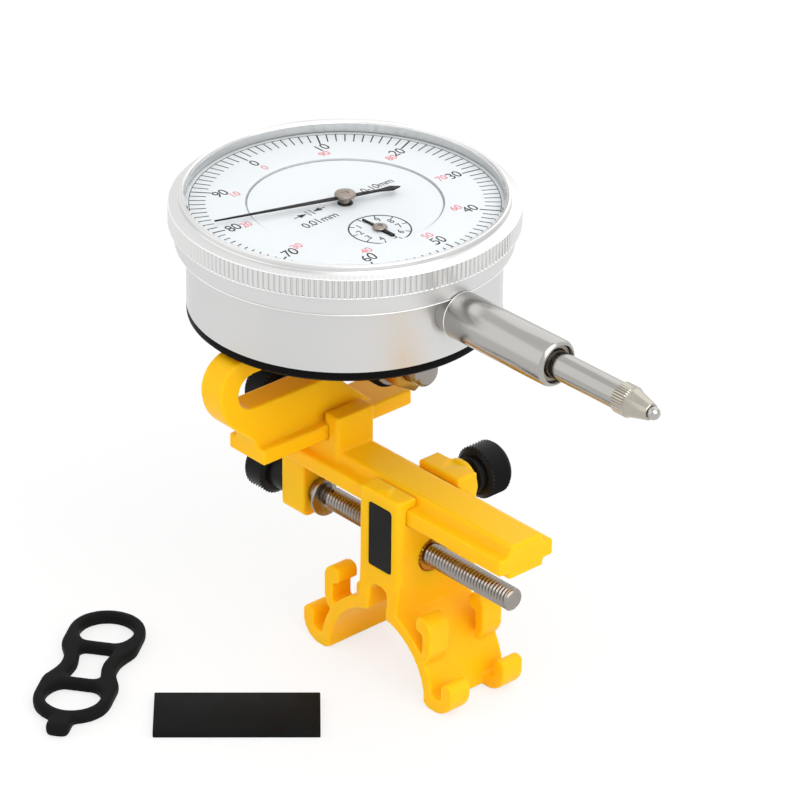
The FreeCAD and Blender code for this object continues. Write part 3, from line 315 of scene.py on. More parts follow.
finishes = {
    "yellowPlastic": {"colors": ((0.98, 0.485, 0.004), (1.0, 0.55, 0.007)),
                      "roughness": (0.34, 0.42), "fineScale": 1600, "patchScale": 60,
                      "bump": 0.06, "Subsurface Weight": 0.6, "Subsurface Scale": 0.0024,
                      "Subsurface Radius": (1.0, 0.35, 0.02), "Specular IOR Level": 0.14},
    "coverBlack": {"colors": ((0.003, 0.003, 0.003), (0.005, 0.005, 0.005)),
                   "roughness": (0.40, 0.52), "fineScale": 2400, "patchScale": 120,
                   "bump": 0.1, "Specular IOR Level": 0.04},
    "knobPlastic": {"colors": ((0.005, 0.005, 0.005), (0.010, 0.010, 0.011)),
                    "roughness": (0.28, 0.40), "fineScale": 2400, "patchScale": 120,
                    "bump": 0.15, "Specular IOR Level": 0.12},
    "blackPlate": {"colors": ((0.008, 0.008, 0.008), (0.013, 0.013, 0.013)),
                   "roughness": (0.30, 0.40), "fineScale": 3000, "patchScale": 200,
                   "bump": 0.10, "Specular IOR Level": 0.1},
    "caseSatin": {"colors": ((0.66, 0.66, 0.66), (0.70, 0.70, 0.695)),
                  "roughness": (0.38, 0.44), "fineScale": 700, "patchScale": 25,
                  "bump": 0.012, "Metallic": 0.9},
    "bezelSatin": {"colors": ((0.70, 0.70, 0.695), (0.76, 0.76, 0.755)),
                   "roughness": (0.26, 0.32), "fineScale": 700, "patchScale": 25,
                   "bump": 0.012, "Metallic": 1.0},
    # a brighter metal than the satin parts: a painted highlight on the edge rounds
    "paintedEdgeHighlight": {"colors": ((0.93, 0.93, 0.93), (0.96, 0.96, 0.96)),
                     "roughness": (0.30, 0.40), "fineScale": 900, "patchScale": 60,
                     "bump": 0.01, "Metallic": 1.0},
    "spindleSteel": {"colors": ((0.36, 0.35, 0.33), (0.42, 0.41, 0.39)),
                     "roughness": (0.14, 0.20), "fineScale": 900, "patchScale": 90,
                     "bump": 0.05, "Metallic": 1.0, "lines": (1, 0, 0), "density": 6000},
    "contactSteel": {"colors": ((0.40, 0.37, 0.32), (0.50, 0.47, 0.41)),
                     "roughness": (0.16, 0.22), "fineScale": 1500, "patchScale": 400,
                     "bump": 0.05, "Metallic": 1.0},
    "rimChrome": {"colors": ((0.40, 0.39, 0.37), (0.48, 0.47, 0.45)),
                  "roughness": (0.05, 0.09), "fineScale": 900, "patchScale": 60,
                  "bump": 0.02, "Metallic": 1.0},
    "stemSteel": {"colors": ((0.38, 0.37, 0.355), (0.44, 0.43, 0.41)),
                  "roughness": (0.18, 0.24), "fineScale": 900, "patchScale": 90,
                  "bump": 0.06, "Metallic": 1.0, "lines": (1, 0, 0), "density": 5000},
    # dark warm steel: partly the steel's own tone, partly a painted reflection of the yellow
    # plastic
    "screwSteel": {"colors": ((0.27, 0.245, 0.22), (0.38, 0.355, 0.33)),
                   "roughness": (0.20, 0.30), "fineScale": 1500, "patchScale": 300,
                   "bump": 0.08, "Metallic": 1.0},
    "brassWarm": {"colors": ((0.44, 0.22, 0.03), (0.56, 0.30, 0.05)),
                  "roughness": (0.26, 0.38), "fineScale": 1500, "patchScale": 300,
                  "bump": 0.08, "Metallic": 1.0},
    "bronzeCap": {"colors": ((0.24, 0.20, 0.17), (0.34, 0.29, 0.25)),
                  "roughness": (0.28, 0.36), "fineScale": 2500, "patchScale": 500,
                  "bump": 0.10, "Metallic": 0.9},
    "faceWhite": {"colors": ((0.69, 0.72, 0.74), (0.71, 0.74, 0.76)),
                  "roughness": (0.42, 0.50), "fineScale": 1800, "patchScale": 40,
                  "bump": 0.02, "Specular IOR Level": 0.2},
    "printBlack": {"colors": ((0.008, 0.008, 0.009), (0.02, 0.02, 0.021)),
                   "roughness": (0.45, 0.6), "fineScale": 3000, "patchScale": 700,
                   "bump": 0.05, "Specular IOR Level": 0.2},
    # grey for a painted shadow: the ring at the foot of the face's step
    "paintedStepShadow": {"colors": ((0.25, 0.25, 0.26), (0.33, 0.33, 0.34)),
                  "roughness": (0.45, 0.6), "fineScale": 3000, "patchScale": 700,
                  "bump": 0.05},
    "printRed": {"colors": ((0.66, 0.14, 0.17), (0.74, 0.20, 0.24)),
                 "roughness": (0.45, 0.6), "fineScale": 3000, "patchScale": 700,
                 "bump": 0.05},
    "rubberBlack": {"colors": ((0.007, 0.007, 0.007), (0.012, 0.012, 0.012)),
                    "roughness": (0.45, 0.6), "fineScale": 2600, "patchScale": 150,
                    "bump": 0.3, "depth": 0.00003, "Specular IOR Level": 0.03},
}
made = {name: basicMaterial(name, values) for name, values in finishes.items()}
glassSet = {"Base Color": (1, 1, 1, 1), "Roughness": 0.02, "IOR": 1.03,
            "Transmission Weight": 1.0}


def makeGlass():
    material = bpy.data.materials.new("crystalClear")
    material.use_nodes = True
    principled = material.node_tree.nodes["Principled BSDF"]
    for label, amount in glassSet.items():
        principled.inputs[label].default_value = amount
    return material


made["crystalClear"] = makeGlass()

nodeFinish = {
    "saddle": "yellowPlastic", "lower_rail": "yellowPlastic", "cross_rail": "yellowPlastic",
    "name_plate": "blackPlate", "adjusting_screw": "screwSteel", "adjuster_knob": "knobPlastic",
    "thrust_washer": "screwSteel", "retaining_clip": "screwSteel", "thread_insert": "brassWarm",
    "rail_clamp_insert": "brassWarm", "rail_clamp_pad": "brassWarm",
    "rail_clamp_screw": "screwSteel", "rail_clamp_knob": "knobPlastic",
    "cross_clamp_insert": "brassWarm", "cross_clamp_pad": "brassWarm",
    "cross_clamp_screw": "screwSteel", "cross_clamp_knob": "knobPlastic",
    "pivot_bolt": "screwSteel", "pivot_washer": "screwSteel", "spring_washer": "screwSteel",
    # the pivot nut is chrome: its brass colour is a painted reflection of the yellow plastic
    "pivot_nut": "brassWarm", "rear_cover": "coverBlack", "cover_screws": "screwSteel",
    "dial_case": "caseSatin", "bezel": "bezelSatin", "crystal": "crystalClear",
    "scale_ring": "faceWhite", "stem": "stemSteel", "stem_bush": "bronzeCap",
    "spindle_cap": "stemSteel", "spindle": "spindleSteel", "contact_point": "contactSteel",
    "contact_ball": "rimChrome", "movement_frame": "brassWarm", "dial_face": "faceWhite",
    "main_arbor": "screwSteel", "counter_arbor": "brassWarm", "main_hand": "printBlack",
    "main_hand_cap": "bronzeCap", "counter_hand": "printBlack", "counter_hand_cap": "bronzeCap",
    "rubber_strap": "rubberBlack", "rubber_pad": "rubberBlack"}
for nodeName, finishName in nodeFinish.items():
    nodeMesh = frame["nodes"][nodeName].data
    nodeMesh.materials.clear()
    nodeMesh.materials.append(made[finishName])
print("materials are on the frame")


# modelling helpers
def clearSelection():
    if bpy.context.object and bpy.context.object.mode != "OBJECT":
        bpy.ops.object.mode_set(mode="OBJECT")
    bpy.ops.object.select_all(action="DESELECT")


def pick(piece):
    clearSelection()
    piece.select_set(True)
    bpy.context.view_layer.objects.active = piece


def settle(piece):
    # the place and turn go into the mesh, so the object ends at the origin
    pick(piece)
    bpy.ops.object.transform_apply(location=True, rotation=True, scale=True)


def selectWhere(piece, test):
    # selects the vertices that pass the test, in edit mode
    bpy.ops.object.mode_set(mode="EDIT")
    bpy.ops.mesh.select_mode(type="VERT")
    bpy.ops.mesh.select_all(action="DESELECT")
    shell = bmesh.from_edit_mesh(piece.data)
    for vertex in shell.verts:
        vertex.select_set(bool(test(vertex.co)))
    shell.select_flush_mode()
    bmesh.update_edit_mesh(piece.data)


def editAll(piece):
    pick(piece)
    bpy.ops.object.mode_set(mode="EDIT")
    bpy.ops.mesh.select_all(action="SELECT")


def faceOutwards():
    bpy.ops.mesh.select_all(action="SELECT")
    bpy.ops.mesh.normals_make_consistent(inside=False)


def leaveEdit():
    bpy.ops.object.mode_set(mode="OBJECT")


def smooth(piece, angle=32):
    pick(piece)
    bpy.ops.object.shade_smooth_by_angle(angle=math.radians(angle))


def applyAll(piece):
    pick(piece)
    for modifier in list(piece.modifiers):
        bpy.ops.object.modifier_apply(modifier=modifier.name)


def joined(name, pieces):
    clearSelection()
    for piece in pieces:
        piece.select_set(True)
    bpy.context.view_layer.objects.active = pieces[0]
    bpy.ops.object.join()
    pieces[0].name = name
    pieces[0].data.name = name
    return pieces[0]


def nodeBody(nodeName):
    return body_of(frame["nodes"][nodeName])[0]


def finish(piece, finishName, body, node=None):
    # the material, the body that carries the piece and the node it stands for, which is hidden
    piece.data.materials.clear()
    piece.data.materials.append(made[finishName])
    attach(piece, body)
    if node:
        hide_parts(node)


axisTurns = {"Z": (0, 0, 0), "X": (0, math.pi / 2, 0), "-X": (0, -math.pi / 2, 0),
             "Y": (-math.pi / 2, 0, 0)}


def layAlong(piece, place, axis):
    # turns a piece modelled along Z to its axis and moves it to its place in mm
    piece.rotation_euler = axisTurns[axis]
    piece.location = Vector(place) * mm
    settle(piece)


def swellRound(share):
    # scales what is selected about the Z axis
    bpy.ops.transform.resize(value=(share, share, 1), center_override=(0, 0, 0))


def columnAt(spot, count):
    # which of the columns round the Z axis a point is on
    return round(math.atan2(spot.y, spot.x) * count / (2 * math.pi))


def turnRings(name, rows, around=96, capStart=True, capEnd=True, place=(0, 0, 0), axis="Z"):
    # rows of (radius, height) in mm, extruded ring by ring from one circle
    clearSelection()
    bpy.ops.mesh.primitive_circle_add(vertices=around, radius=rows[0][0] * mm,
                                      location=(0, 0, rows[0][1] * mm),
                                      fill_type="NGON" if capStart else "NOTHING")
    piece = bpy.context.object
    piece.name = name
    bpy.ops.object.transform_apply(location=True)
    bpy.ops.object.mode_set(mode="EDIT")
    bpy.ops.mesh.select_mode(type="VERT")
    bpy.ops.mesh.select_all(action="SELECT")
    radius, height = rows[0]
    for nextRadius, nextHeight in rows[1:]:
        bpy.ops.mesh.extrude_edges_move(
            TRANSFORM_OT_translate={"value": (0, 0, (nextHeight - height) * mm)})
        swellRound(nextRadius / radius)
        radius, height = nextRadius, nextHeight
    if capEnd:
        bpy.ops.mesh.edge_face_add()
    bpy.ops.mesh.select_all(action="SELECT")
    bpy.ops.mesh.remove_doubles(threshold=1e-7)
    faceOutwards()
    leaveEdit()
    layAlong(piece, place, axis)
    return piece


def wallRings(name, rows, around, place, axis="Z"):
    # a closed wall: the rows end where they started, with nothing capped
    return turnRings(name, rows + rows[:1], around, False, False, place, axis)


def frameCopy(nodeName, name):
    # a welded copy of a frame node, left in edit mode with everything selected
    piece = bpy.data.objects.new(name, frame["nodes"][nodeName].data.copy())
    bpy.context.collection.objects.link(piece)
    editAll(piece)
    bpy.ops.mesh.remove_doubles(threshold=1e-6)
    return piece


def softCopy(nodeName, name, width, segments=2, angle=35):
    # a copy of a frame node with its edges rounded
    piece = frameCopy(nodeName, name)
    bpy.ops.mesh.dissolve_limited(angle_limit=math.radians(1.5))
    leaveEdit()
    bevel = piece.modifiers.new("edgeRound", "BEVEL")
    bevel.width = width * mm
    bevel.segments = segments
    bevel.limit_method = "ANGLE"
    bevel.angle_limit = math.radians(angle)
    bevel.harden_normals = False
    applyAll(piece)
    return piece


# knurled knobs: a grid band whose every other point is raised into diamonds
knobSet = {"radius": 4.65, "long": 5.1, "rise": 0.36, "around": 80, "rows": 13, "hub": 3.1,
           "below": 0.35, "above": 0.62, "dish": 2.75, "smooth": 14}


def makeKnob(name, node, body, collar, bore, place, axis):
    values = knobSet
    hub, dish, top = values["hub"], values["dish"], collar + values["long"]
    low, high = collar + values["below"], top - values["above"]
    base = values["radius"] - values["rise"]
    step = (high - low) / values["rows"]
    rows = [(bore, 0.0), (hub - 0.2, 0.0), (hub, 0.2), (hub, collar), (base - 0.5, collar),
            (base, low)]
    rows += [(base, low + step * (index + 1)) for index in range(values["rows"])]
    rows += [(base - 0.1, high + 0.22), (base - 0.42, top - 0.1), (base - 0.75, top),
             (dish, top), (dish - 0.2, top - 0.35), (bore, top - 0.45)]
    knob = turnRings(name, rows, values["around"], capStart=False, capEnd=False)
    pick(knob)

    def raised(spot):
        off = abs(spot.xy.length / mm - base)
        if not low - 1e-6 < spot.z / mm < high + 1e-6 or off > 0.02:
            return False
        row = round((spot.z / mm - low) / step)
        return (row + columnAt(spot, values["around"])) % 2 == 0 and 0 < row < values["rows"]

    selectWhere(knob, raised)
    swellRound(values["radius"] / base)
    leaveEdit()
    layAlong(knob, place, axis)
    smooth(knob, values["smooth"])
    finish(knob, "knobPlastic", body, node)


# name, node, body, collar, bore, place and axis of each
for knobRow in (
        ("adjusterKnob", "adjuster_knob", "adjuster", 3.65, 2.0, (-29.55, 0, 22.1), "-X"),
        ("railClampKnob", "rail_clamp_knob", "rail_clamp", 1.1, 1.52, (0, 12.3, 30.4), "Y"),
        ("crossClampKnob", "cross_clamp_knob", "cross_clamp", 1.1, 1.52, (-32.1, 0, 36.85),
         "-X")):
    makeKnob(*knobRow)
print("knobs are made")


# the adjusting screw: turned shank, neck and a cut thread
threadSet = {"crest": 1.98, "root": 1.46, "pitch": 0.7, "start": -19.8, "end": 24.3,
             "point": 0.4, "steps": 40, "flank": ((0.04, 0.41), (0.0, 0.5), (0.04, 0.59)),
             "shankRows": ((1.5, -37.6), (1.98, -37.2), (1.98, -21.65), (1.5, -21.65),
                           (1.5, -19.75)),
             "pointRows": ((1.4, 23.5), (1.92, 23.84), (1.92, 23.94), (1.84, 24.06),
                           (1.58, 24.28))}


def makeAdjustingScrew():
    # one tooth's outline goes round and along as a helix, cut flat at both ends
    values = threadSet
    pitch, crest, root = values["pitch"], values["crest"], values["root"]
    clearSelection()
    bpy.ops.mesh.primitive_plane_add(size=1 * mm)
    thread = bpy.context.object
    thread.name = "adjustingScrew"
    selectWhere(thread, lambda spot: spot.x < 0 or spot.y > 0)
    bpy.ops.mesh.delete(type="VERT")
    bpy.ops.mesh.select_all(action="SELECT")
    bpy.ops.transform.translate(value=((root - 0.5) * mm, 0.5 * mm, 0))
    across, along = root, 0.0
    outline = [(crest - drop, share) for drop, share in values["flank"]] + [(root, 1.0)]
    for nextAcross, nextAlong in outline:
        move = (nextAcross - across, 0, (nextAlong - along) * pitch)
        bpy.ops.mesh.extrude_vertices_move(
            TRANSFORM_OT_translate={"value": Vector(move) * mm})
        across, along = nextAcross, nextAlong
    leaveEdit()
    helix = thread.modifiers.new("thread", "SCREW")
    helix.axis = "Z"
    helix.angle = 2 * math.pi
    helix.screw_offset = pitch * mm
    helix.iterations = int((values["end"] - values["start"]) / pitch) + 3
    helix.steps = values["steps"]
    helix.render_steps = values["steps"]
    helix.use_merge_vertices = True
    helix.merge_threshold = 1e-6
    applyAll(thread)
    editAll(thread)
    bpy.ops.transform.translate(value=(0, 0, (values["start"] - pitch) * mm))
    bpy.ops.mesh.remove_doubles(threshold=2e-6)
    bpy.ops.mesh.bisect(plane_co=(0, 0, values["start"] * mm), plane_no=(0, 0, 1),
                        clear_inner=True, use_fill=True)
    bpy.ops.mesh.select_all(action="SELECT")
    bpy.ops.mesh.bisect(plane_co=(0, 0, (values["end"] - values["point"]) * mm),
                        plane_no=(0, 0, 1), clear_outer=True, use_fill=True)
    faceOutwards()
    leaveEdit()
    layAlong(thread, screwPlace, "X")
    shank = turnRings("shank", values["shankRows"], 48, place=screwPlace, axis="X")
    point = turnRings("screwPoint", values["pointRows"], 48, place=screwPlace, axis="X")
    screw = joined("adjustingScrew", [thread, shank, point])
    smooth(screw, 40)
    finish(screw, "screwSteel", "adjuster", "adjusting_screw")


makeAdjustingScrew()


# brass insert with a knurled rim
insertSet = {"around": 72, "every": 3, "grooveFrom": 2.8, "deep": 0.93,
             "rows": [(2.02, -4.8), (2.75, -4.8), (2.95, -4.6), (2.95, -3.4), (2.7, -3.2),
                      (2.7, 3.2), (2.95, 3.4), (2.95, 4.6), (2.75, 4.8), (2.02, 4.8)]}


def makeInsert():
    values = insertSet
    insert = wallRings("threadInsert", values["rows"], values["around"], (0, 0, 0))
    pick(insert)
    selectWhere(insert, lambda spot: columnAt(spot, values["around"]) % values["every"] == 0
                and spot.xy.length / mm > values["grooveFrom"])
    swellRound(values["deep"])
    leaveEdit()
    layAlong(insert, screwPlace, "X")
    smooth(insert, 30)
    finish(insert, "brassWarm", "saddle", "thread_insert")


makeInsert()
print("screw and insert are made")


# moulded bodies: piece, voxel in mm and smoothing passes for each node
mouldSet = {"saddle": ("saddle", 0.26, 5), "lower_rail": ("lowerRail", 0.26, 5),
            "cross_rail": ("crossRail", 0.26, 6),
            "rubber_strap": ("rubberStrap", 0.25, 45)}


def softMould(nodeName, name, voxel, passes):
    # remeshed copy: flat walls stay flat and every edge turns soft
    piece = frameCopy(nodeName, name)
    leaveEdit()
    remesh = piece.modifiers.new("even", "REMESH")
    remesh.mode = "VOXEL"
    remesh.voxel_size = voxel * mm
    remesh.use_smooth_shade = True
    soften = piece.modifiers.new("soften", "SMOOTH")
    soften.factor = 0.5
    soften.iterations = passes
    applyAll(piece)
    pick(piece)
    bpy.ops.object.shade_smooth()
    return piece


for nodeName, (pieceName, voxel, passes) in mouldSet.items():
    mould = softMould(nodeName, pieceName, voxel, passes)
    finish(mould, nodeFinish[nodeName], nodeBody(nodeName), nodeName)
print("moulded bodies are made")

# small fittings: rounded copies, each with the width of its rounds in mm
for nodeName, pieceName, width in (
        ("name_plate", "namePlate", 0.12), ("rubber_pad", "rubberPad", 0.18),
        ("retaining_clip", "retainingClip", 0.12), ("pivot_washer", "pivotWasher", 0.15),
        ("pivot_nut", "pivotNut", 0.25), ("rear_cover", "rearCover", 0.25),
        ("cover_screws", "coverScrews", 0.1), ("pivot_bolt", "pivotBolt", 0.15)):
    fitting = softCopy(nodeName, pieceName, width)
    smooth(fitting, 28)
    finish(fitting, nodeFinish[nodeName], nodeBody(nodeName), nodeName)


# bezel: a turned ring with a ridged grip band
bezelSet = {"ridges": 190, "columns": 6, "deep": 0.26, "low": 72.95, "high": 76.25,
            "radius": 29.0, "inner": 26.3, "seat": 26.8, "rim": 27.2, "top": 77.9}


def makeBezel():
    values = bezelSet
    radius, low, high, top = values["radius"], values["low"], values["high"], values["top"]
    inner, rim, seat = values["inner"], values["rim"], values["seat"]
    rows = [(24.6, 71.5), (25.9, 71.5), (25.96, 71.6), (25.96, low), (radius - 0.25, low),
            (radius, low + 0.12), (radius, high), (radius - 0.2, high + 0.12),
            (rim + 0.35, high + 0.5), (rim + 0.08, high + 0.6), (rim, high + 0.75),
            (rim, top - 0.16), (rim - 0.06, top - 0.04), (rim - 0.18, top),
            (inner + 0.22, top), (inner + 0.07, top - 0.05), (inner, top - 0.2),
            (inner, 76.2), (seat, 76.2), (seat, 74.8), (24.6, 74.8)]
    around = values["ridges"] * values["columns"]
    ring = wallRings("bezelRing", rows, around, (0, 0, 0))
    pick(ring)

    def groove(spot):
        column = columnAt(spot, around) % values["columns"]
        return (column in (0, 1) and spot.xy.length / mm > radius - 0.02
                and low < spot.z / mm < high + 0.05)

    selectWhere(ring, groove)
    swellRound((radius - values["deep"]) / radius)
    leaveEdit()
    ring.location = dialSpot
    settle(ring)
    smooth(ring, 24)
    finish(ring, "bezelSatin", "bezel", "bezel")


makeBezel()


# crystal: a thin raised disc with a rounded shoulder, rows from foot to foot
crystalRows = [(26.1, 77.72), (26.76, 77.72), (26.76, 77.9), (26.6, 78.3), (26.2, 78.66),
               (25.6, 78.83), (24.9, 78.88), (10.0, 78.88), (0.6, 78.88), (0.01, 78.88),
               (0.01, 78.33), (0.6, 78.33), (10.0, 78.33), (24.9, 78.33), (25.5, 78.26),
               (25.9, 78.05)]


def makeCrystal():
    dome = wallRings("crystalDome", crystalRows, 240, dialPlace)
    smooth(dome, 40)
    finish(dome, "crystalClear", "bezel", "crystal")


makeCrystal()


# dial print, and a grey ring of painted shadow at the foot of the step from the scale ring down
# to the face
# the "line" ring at 16.08 mm is not print: it is a painted shadow at the foot of the face's
# step
dialSet = {"zero": 185.3, "ticks": 100, "outer": 25.6, "minor": 2.8, "major": 3.5,
           "wide": 0.21, "edge": 25.55, "edgeWide": 0.12, "faceTop": 76.0, "innerTop": 75.7,
           "deep": 0.8, "ink": 0.02, "lift": 0.003, "black": 20.55, "red": 18.2,
           "numeral": 2.25, "redNumeral": 1.7, "line": 16.08, "stepShadowWide": 0.2}
smallSet = {"radius": 5.08, "wide": 0.24, "tick": 0.95, "tickWide": 0.18, "numeral": 1.5,
            "numeralAt": 3.45, "zero": 179}
wordSet = {"share": 1.38, "narrow": 0.88, "close": 0.95, "middle": 0.016}
faceTop, innerTop = dialSet["faceTop"], dialSet["innerTop"]


def makeFaces():
    # the turning scale ring and the fixed face inside it, with a fine step between them
    low = faceTop - dialSet["deep"]
    ring = wallRings("scaleRing", [(16.3, low), (26.7, low), (26.7, faceTop - 0.05),
                                   (26.6, faceTop), (16.34, faceTop), (16.3, faceTop - 0.04)],
                     180, dialPlace)
    smooth(ring, 30)
    finish(ring, "faceWhite", "bezel", "scale_ring")
    face = turnRings("dialFace", [(16.24, low), (16.24, innerTop - 0.04), (16.2, innerTop),
                                  (1.6, innerTop), (1.5, innerTop - 0.03)], 180,
                     place=dialPlace)
    smooth(face, 30)
    finish(face, "faceWhite", "indicator", "dial_face")


makeFaces()


def flatPlate(name, long, wide):
    # a flat plate of the given size in mm, ready for extruding
    clearSelection()
    bpy.ops.mesh.primitive_plane_add(size=1)
    plate = bpy.context.object
    plate.name = name
    plate.scale = (long * mm, wide * mm, 1)
    bpy.ops.object.transform_apply(scale=True)
    return plate


def raiseInk():
    # gives what is in edit mode the thickness of the print
    bpy.ops.mesh.select_all(action="SELECT")
    bpy.ops.mesh.extrude_region_move(
        TRANSFORM_OT_translate={"value": (0, 0, dialSet["ink"] * mm)})
    bpy.ops.mesh.select_all(action="SELECT")


def makeTicks(name, count, outer, long, wide, place, level=faceTop):
    # one bar is modelled, then spun round the dial as copies
    piece = flatPlate(name, long, wide)
    editAll(piece)
    bpy.ops.transform.translate(
        value=((outer - long / 2) * mm, 0, level * mm + dialSet["lift"] * mm))
    raiseInk()
    bpy.ops.mesh.spin(steps=count - 1, dupli=True, angle=2 * math.pi * (count - 1) / count,
                      center=(0, 0, 0), axis=(0, 0, 1))
    faceOutwards()
    leaveEdit()
    piece.rotation_euler = (0, 0, math.radians(dialSet["zero"]))
    piece.location = Vector(place)
    settle(piece)
    return piece


def makeLine(name, radius, wide, place, level=faceTop):
    low, high = level + 0.004, level + 0.004 + dialSet["ink"]
    inside, outside = radius - wide / 2, radius + wide / 2
    return wallRings(name, [(inside, low), (outside, low), (outside, high), (inside, high)],
                     180, place)


def makeWord(text, size, place, level=faceTop):
    clearSelection()
    bpy.ops.object.text_add()
    word = bpy.context.object
    word.data.body = text
    word.data.size = size * mm * wordSet["share"]
    word.data.align_x = "CENTER"
    word.data.align_y = "CENTER"
    word.data.extrude = dialSet["ink"] * mm / 2
    word.data.resolution_u = 4
    word.data.space_character = wordSet["close"]
    bpy.ops.object.convert(target="MESH")
    word = bpy.context.object
    word.scale = (wordSet["narrow"], 1, 1)
    word.rotation_euler = (0, 0, math.pi / 2)
    word.location = Vector(place) + Vector((0, 0, (level + wordSet["middle"]) * mm))
    settle(word)
    return word


def ringPlace(radius, degrees, centre=dialSpot):
    turn = math.radians(degrees)
    return centre + Vector((math.cos(turn), math.sin(turn), 0)) * radius * mm


def makeScalePrint():
    values = dialSet
    outer, wide, zero = values["outer"], values["wide"], values["zero"]
    minor = makeTicks("scaleTicks", values["ticks"], outer, values["minor"], wide, dialSpot)
    major = makeTicks("majorTicks", 10, outer, values["major"], wide * 1.25, dialSpot)
    edge = makeLine("scaleEdge", values["edge"], values["edgeWide"], dialPlace)
    words = [makeWord(str(10 * index), values["numeral"],
                      ringPlace(values["black"], zero - 36 * index)) for index in range(10)]
    scale = joined("scalePrint", [minor, major, edge] + words)
    finish(scale, "printBlack", "bezel")
    words = [makeWord(str((10 * (10 - index)) % 100), values["redNumeral"],
                      ringPlace(values["red"], zero - 36 * index)) for index in range(10)]
    finish(joined("scaleRed", words), "printRed", "bezel")
    # a grey ring of painted shadow just inside the step between the scale ring and the face
    line = makeLine("faceStepShadow", values["line"], values["stepShadowWide"], dialPlace, innerTop)
    finish(line, "paintedStepShadow", "indicator")


makeScalePrint()


unitSet = {"spot": (-1.05, -6.75), "gap": 0.42, "mark": 1.9, "markWide": 0.16, "head": 1.5,
           "headWide": 1.15, "apart": 0.35, "tail": 1.0}


def unitPlace(reach):
    across, along = unitSet["spot"]
    return dialSpot + Vector((across, along + reach, innerTop + dialSet["lift"])) * mm


def makeArrow(side):
    # one arrow with its tail, pointing at the pair of marks from one side
    values = unitSet
    arrow = flatPlate("unitArrow", values["head"], values["headWide"])
    selectWhere(arrow, lambda spot: spot.x < 0)
    bpy.ops.transform.resize(value=(1, 0.06, 1), center_override=(0, 0, 0))
    selectWhere(arrow, lambda spot: spot.x > 0)
    bpy.ops.mesh.extrude_edges_move(TRANSFORM_OT_translate={"value": (0, 0, 0)})
    bpy.ops.transform.resize(value=(1, 0.16, 1), center_override=(0, 0, 0))
    bpy.ops.mesh.extrude_edges_move(
        TRANSFORM_OT_translate={"value": (values["tail"] * mm, 0, 0)})
    raiseInk()
    faceOutwards()
    leaveEdit()
    arrow.rotation_euler = (0, 0, side * math.pi / 2)
    arrow.location = unitPlace(side * (values["gap"] + values["apart"] + values["head"] / 2))
    settle(arrow)
    return arrow


def makeMark(side):
    mark = flatPlate("unitMark", unitSet["mark"], unitSet["markWide"])
    editAll(mark)
    raiseInk()
    faceOutwards()
    leaveEdit()
    mark.location = unitPlace(side * unitSet["gap"])
    settle(mark)
    return mark


def makeFacePrint():
    values = smallSet
    radius = values["radius"]
    ring = makeLine("smallRing", radius, values["wide"], smallPlace, innerTop)
    ticks = makeTicks("smallTicks", 10, radius, values["tick"], values["tickWide"], smallSpot,
                      innerTop)
    words = [makeWord(str(index), values["numeral"],
                      ringPlace(values["numeralAt"], values["zero"] + 36 * index, smallSpot),
                      innerTop) for index in range(10)]
    unit = makeWord("0.01mm", 1.9, dialSpot + Vector((2.2, -7.3, 0)) * mm, innerTop)
    reach = makeWord("0-10mm", 1.7, dialSpot + Vector((-1.3, 8.2, 0)) * mm, innerTop)
    marks = [make(side) for make in (makeArrow, makeMark) for side in (1, -1)]
    piece = joined("facePrint", [ring, ticks, unit, reach] + words + marks)
    finish(piece, "printBlack", "indicator")


makeFacePrint()
print("dial print is made")


# hands and their caps: a cap ends in its low edge, radius and top in mm
handSet = {"cut": 77.21, "turn": -2.4, "down": 0.5, "smallCut": 75.71, "smallDown": 0.45,
           "foot": ((1.3, 75.71), (1.3, 75.8), (1.1, 75.9), (0.72, 75.92), (0.72, 76.72)),
           "post": ((0.8, 75.92), (0.85, 75.96), (0.85, 76.68))}
capSet = (("mainHandCap", "main_hand_cap", "main_hand", dialPlace, 76.95, 1.78, 77.6),
          ("counterHandCap", "counter_hand_cap", "counter_hand", smallPlace, 76.0, 1.22, 76.42))


def cutBelow(height):
    bpy.ops.mesh.bisect(plane_co=(0, 0, height * mm), plane_no=(0, 0, 1), clear_inner=True,
                        use_fill=True)
    bpy.ops.mesh.select_all(action="SELECT")


def makeMainHand():
    # the blade is the frame's own, cut off above its hub, on a turned foot
    values = handSet
    blade = softCopy("main_hand", "mainHand", 0.03, 1, 40)
    editAll(blade)
    cutBelow(values["cut"])
    bpy.ops.transform.rotate(value=math.radians(values["turn"]), orient_axis="Z",
                             center_override=dialSpot)
    bpy.ops.transform.translate(value=(0, 0, -values["down"] * mm))
    leaveEdit()
    foot = turnRings("handFoot", values["foot"], 48, place=dialPlace)
    hand = joined("mainHand", [blade, foot])
    smooth(hand, 30)
    finish(hand, "printBlack", "main_hand", "main_hand")


def makeCaps():
    for name, node, body, place, low, radius, high in capSet:
        rows = [(radius - 0.15, low), (radius, low + 0.12), (radius, high - 0.22),
                (radius - 0.12, high - 0.06), (radius - 0.35, high), (radius * 0.36, high),
                (radius * 0.32, high - 0.14), (radius * 0.12, high - 0.16)]
        cap = turnRings(name, rows, 64, place=place)
        smooth(cap, 35)
        finish(cap, "bronzeCap", body, node)
    post = turnRings("handPost", handSet["post"], 48, place=dialPlace)
    smooth(post, 35)
    finish(post, "bronzeCap", "main_hand")


def makeCounterHand():
    hand = softCopy("counter_hand", "counterHand", 0.05)
    editAll(hand)
    bpy.ops.transform.translate(value=(0, 0, -handSet["smallDown"] * mm))
    cutBelow(handSet["smallCut"])
    leaveEdit()
    smooth(hand, 28)
    finish(hand, "printBlack", "counter_hand", "counter_hand")


makeMainHand()
makeCaps()
makeCounterHand()

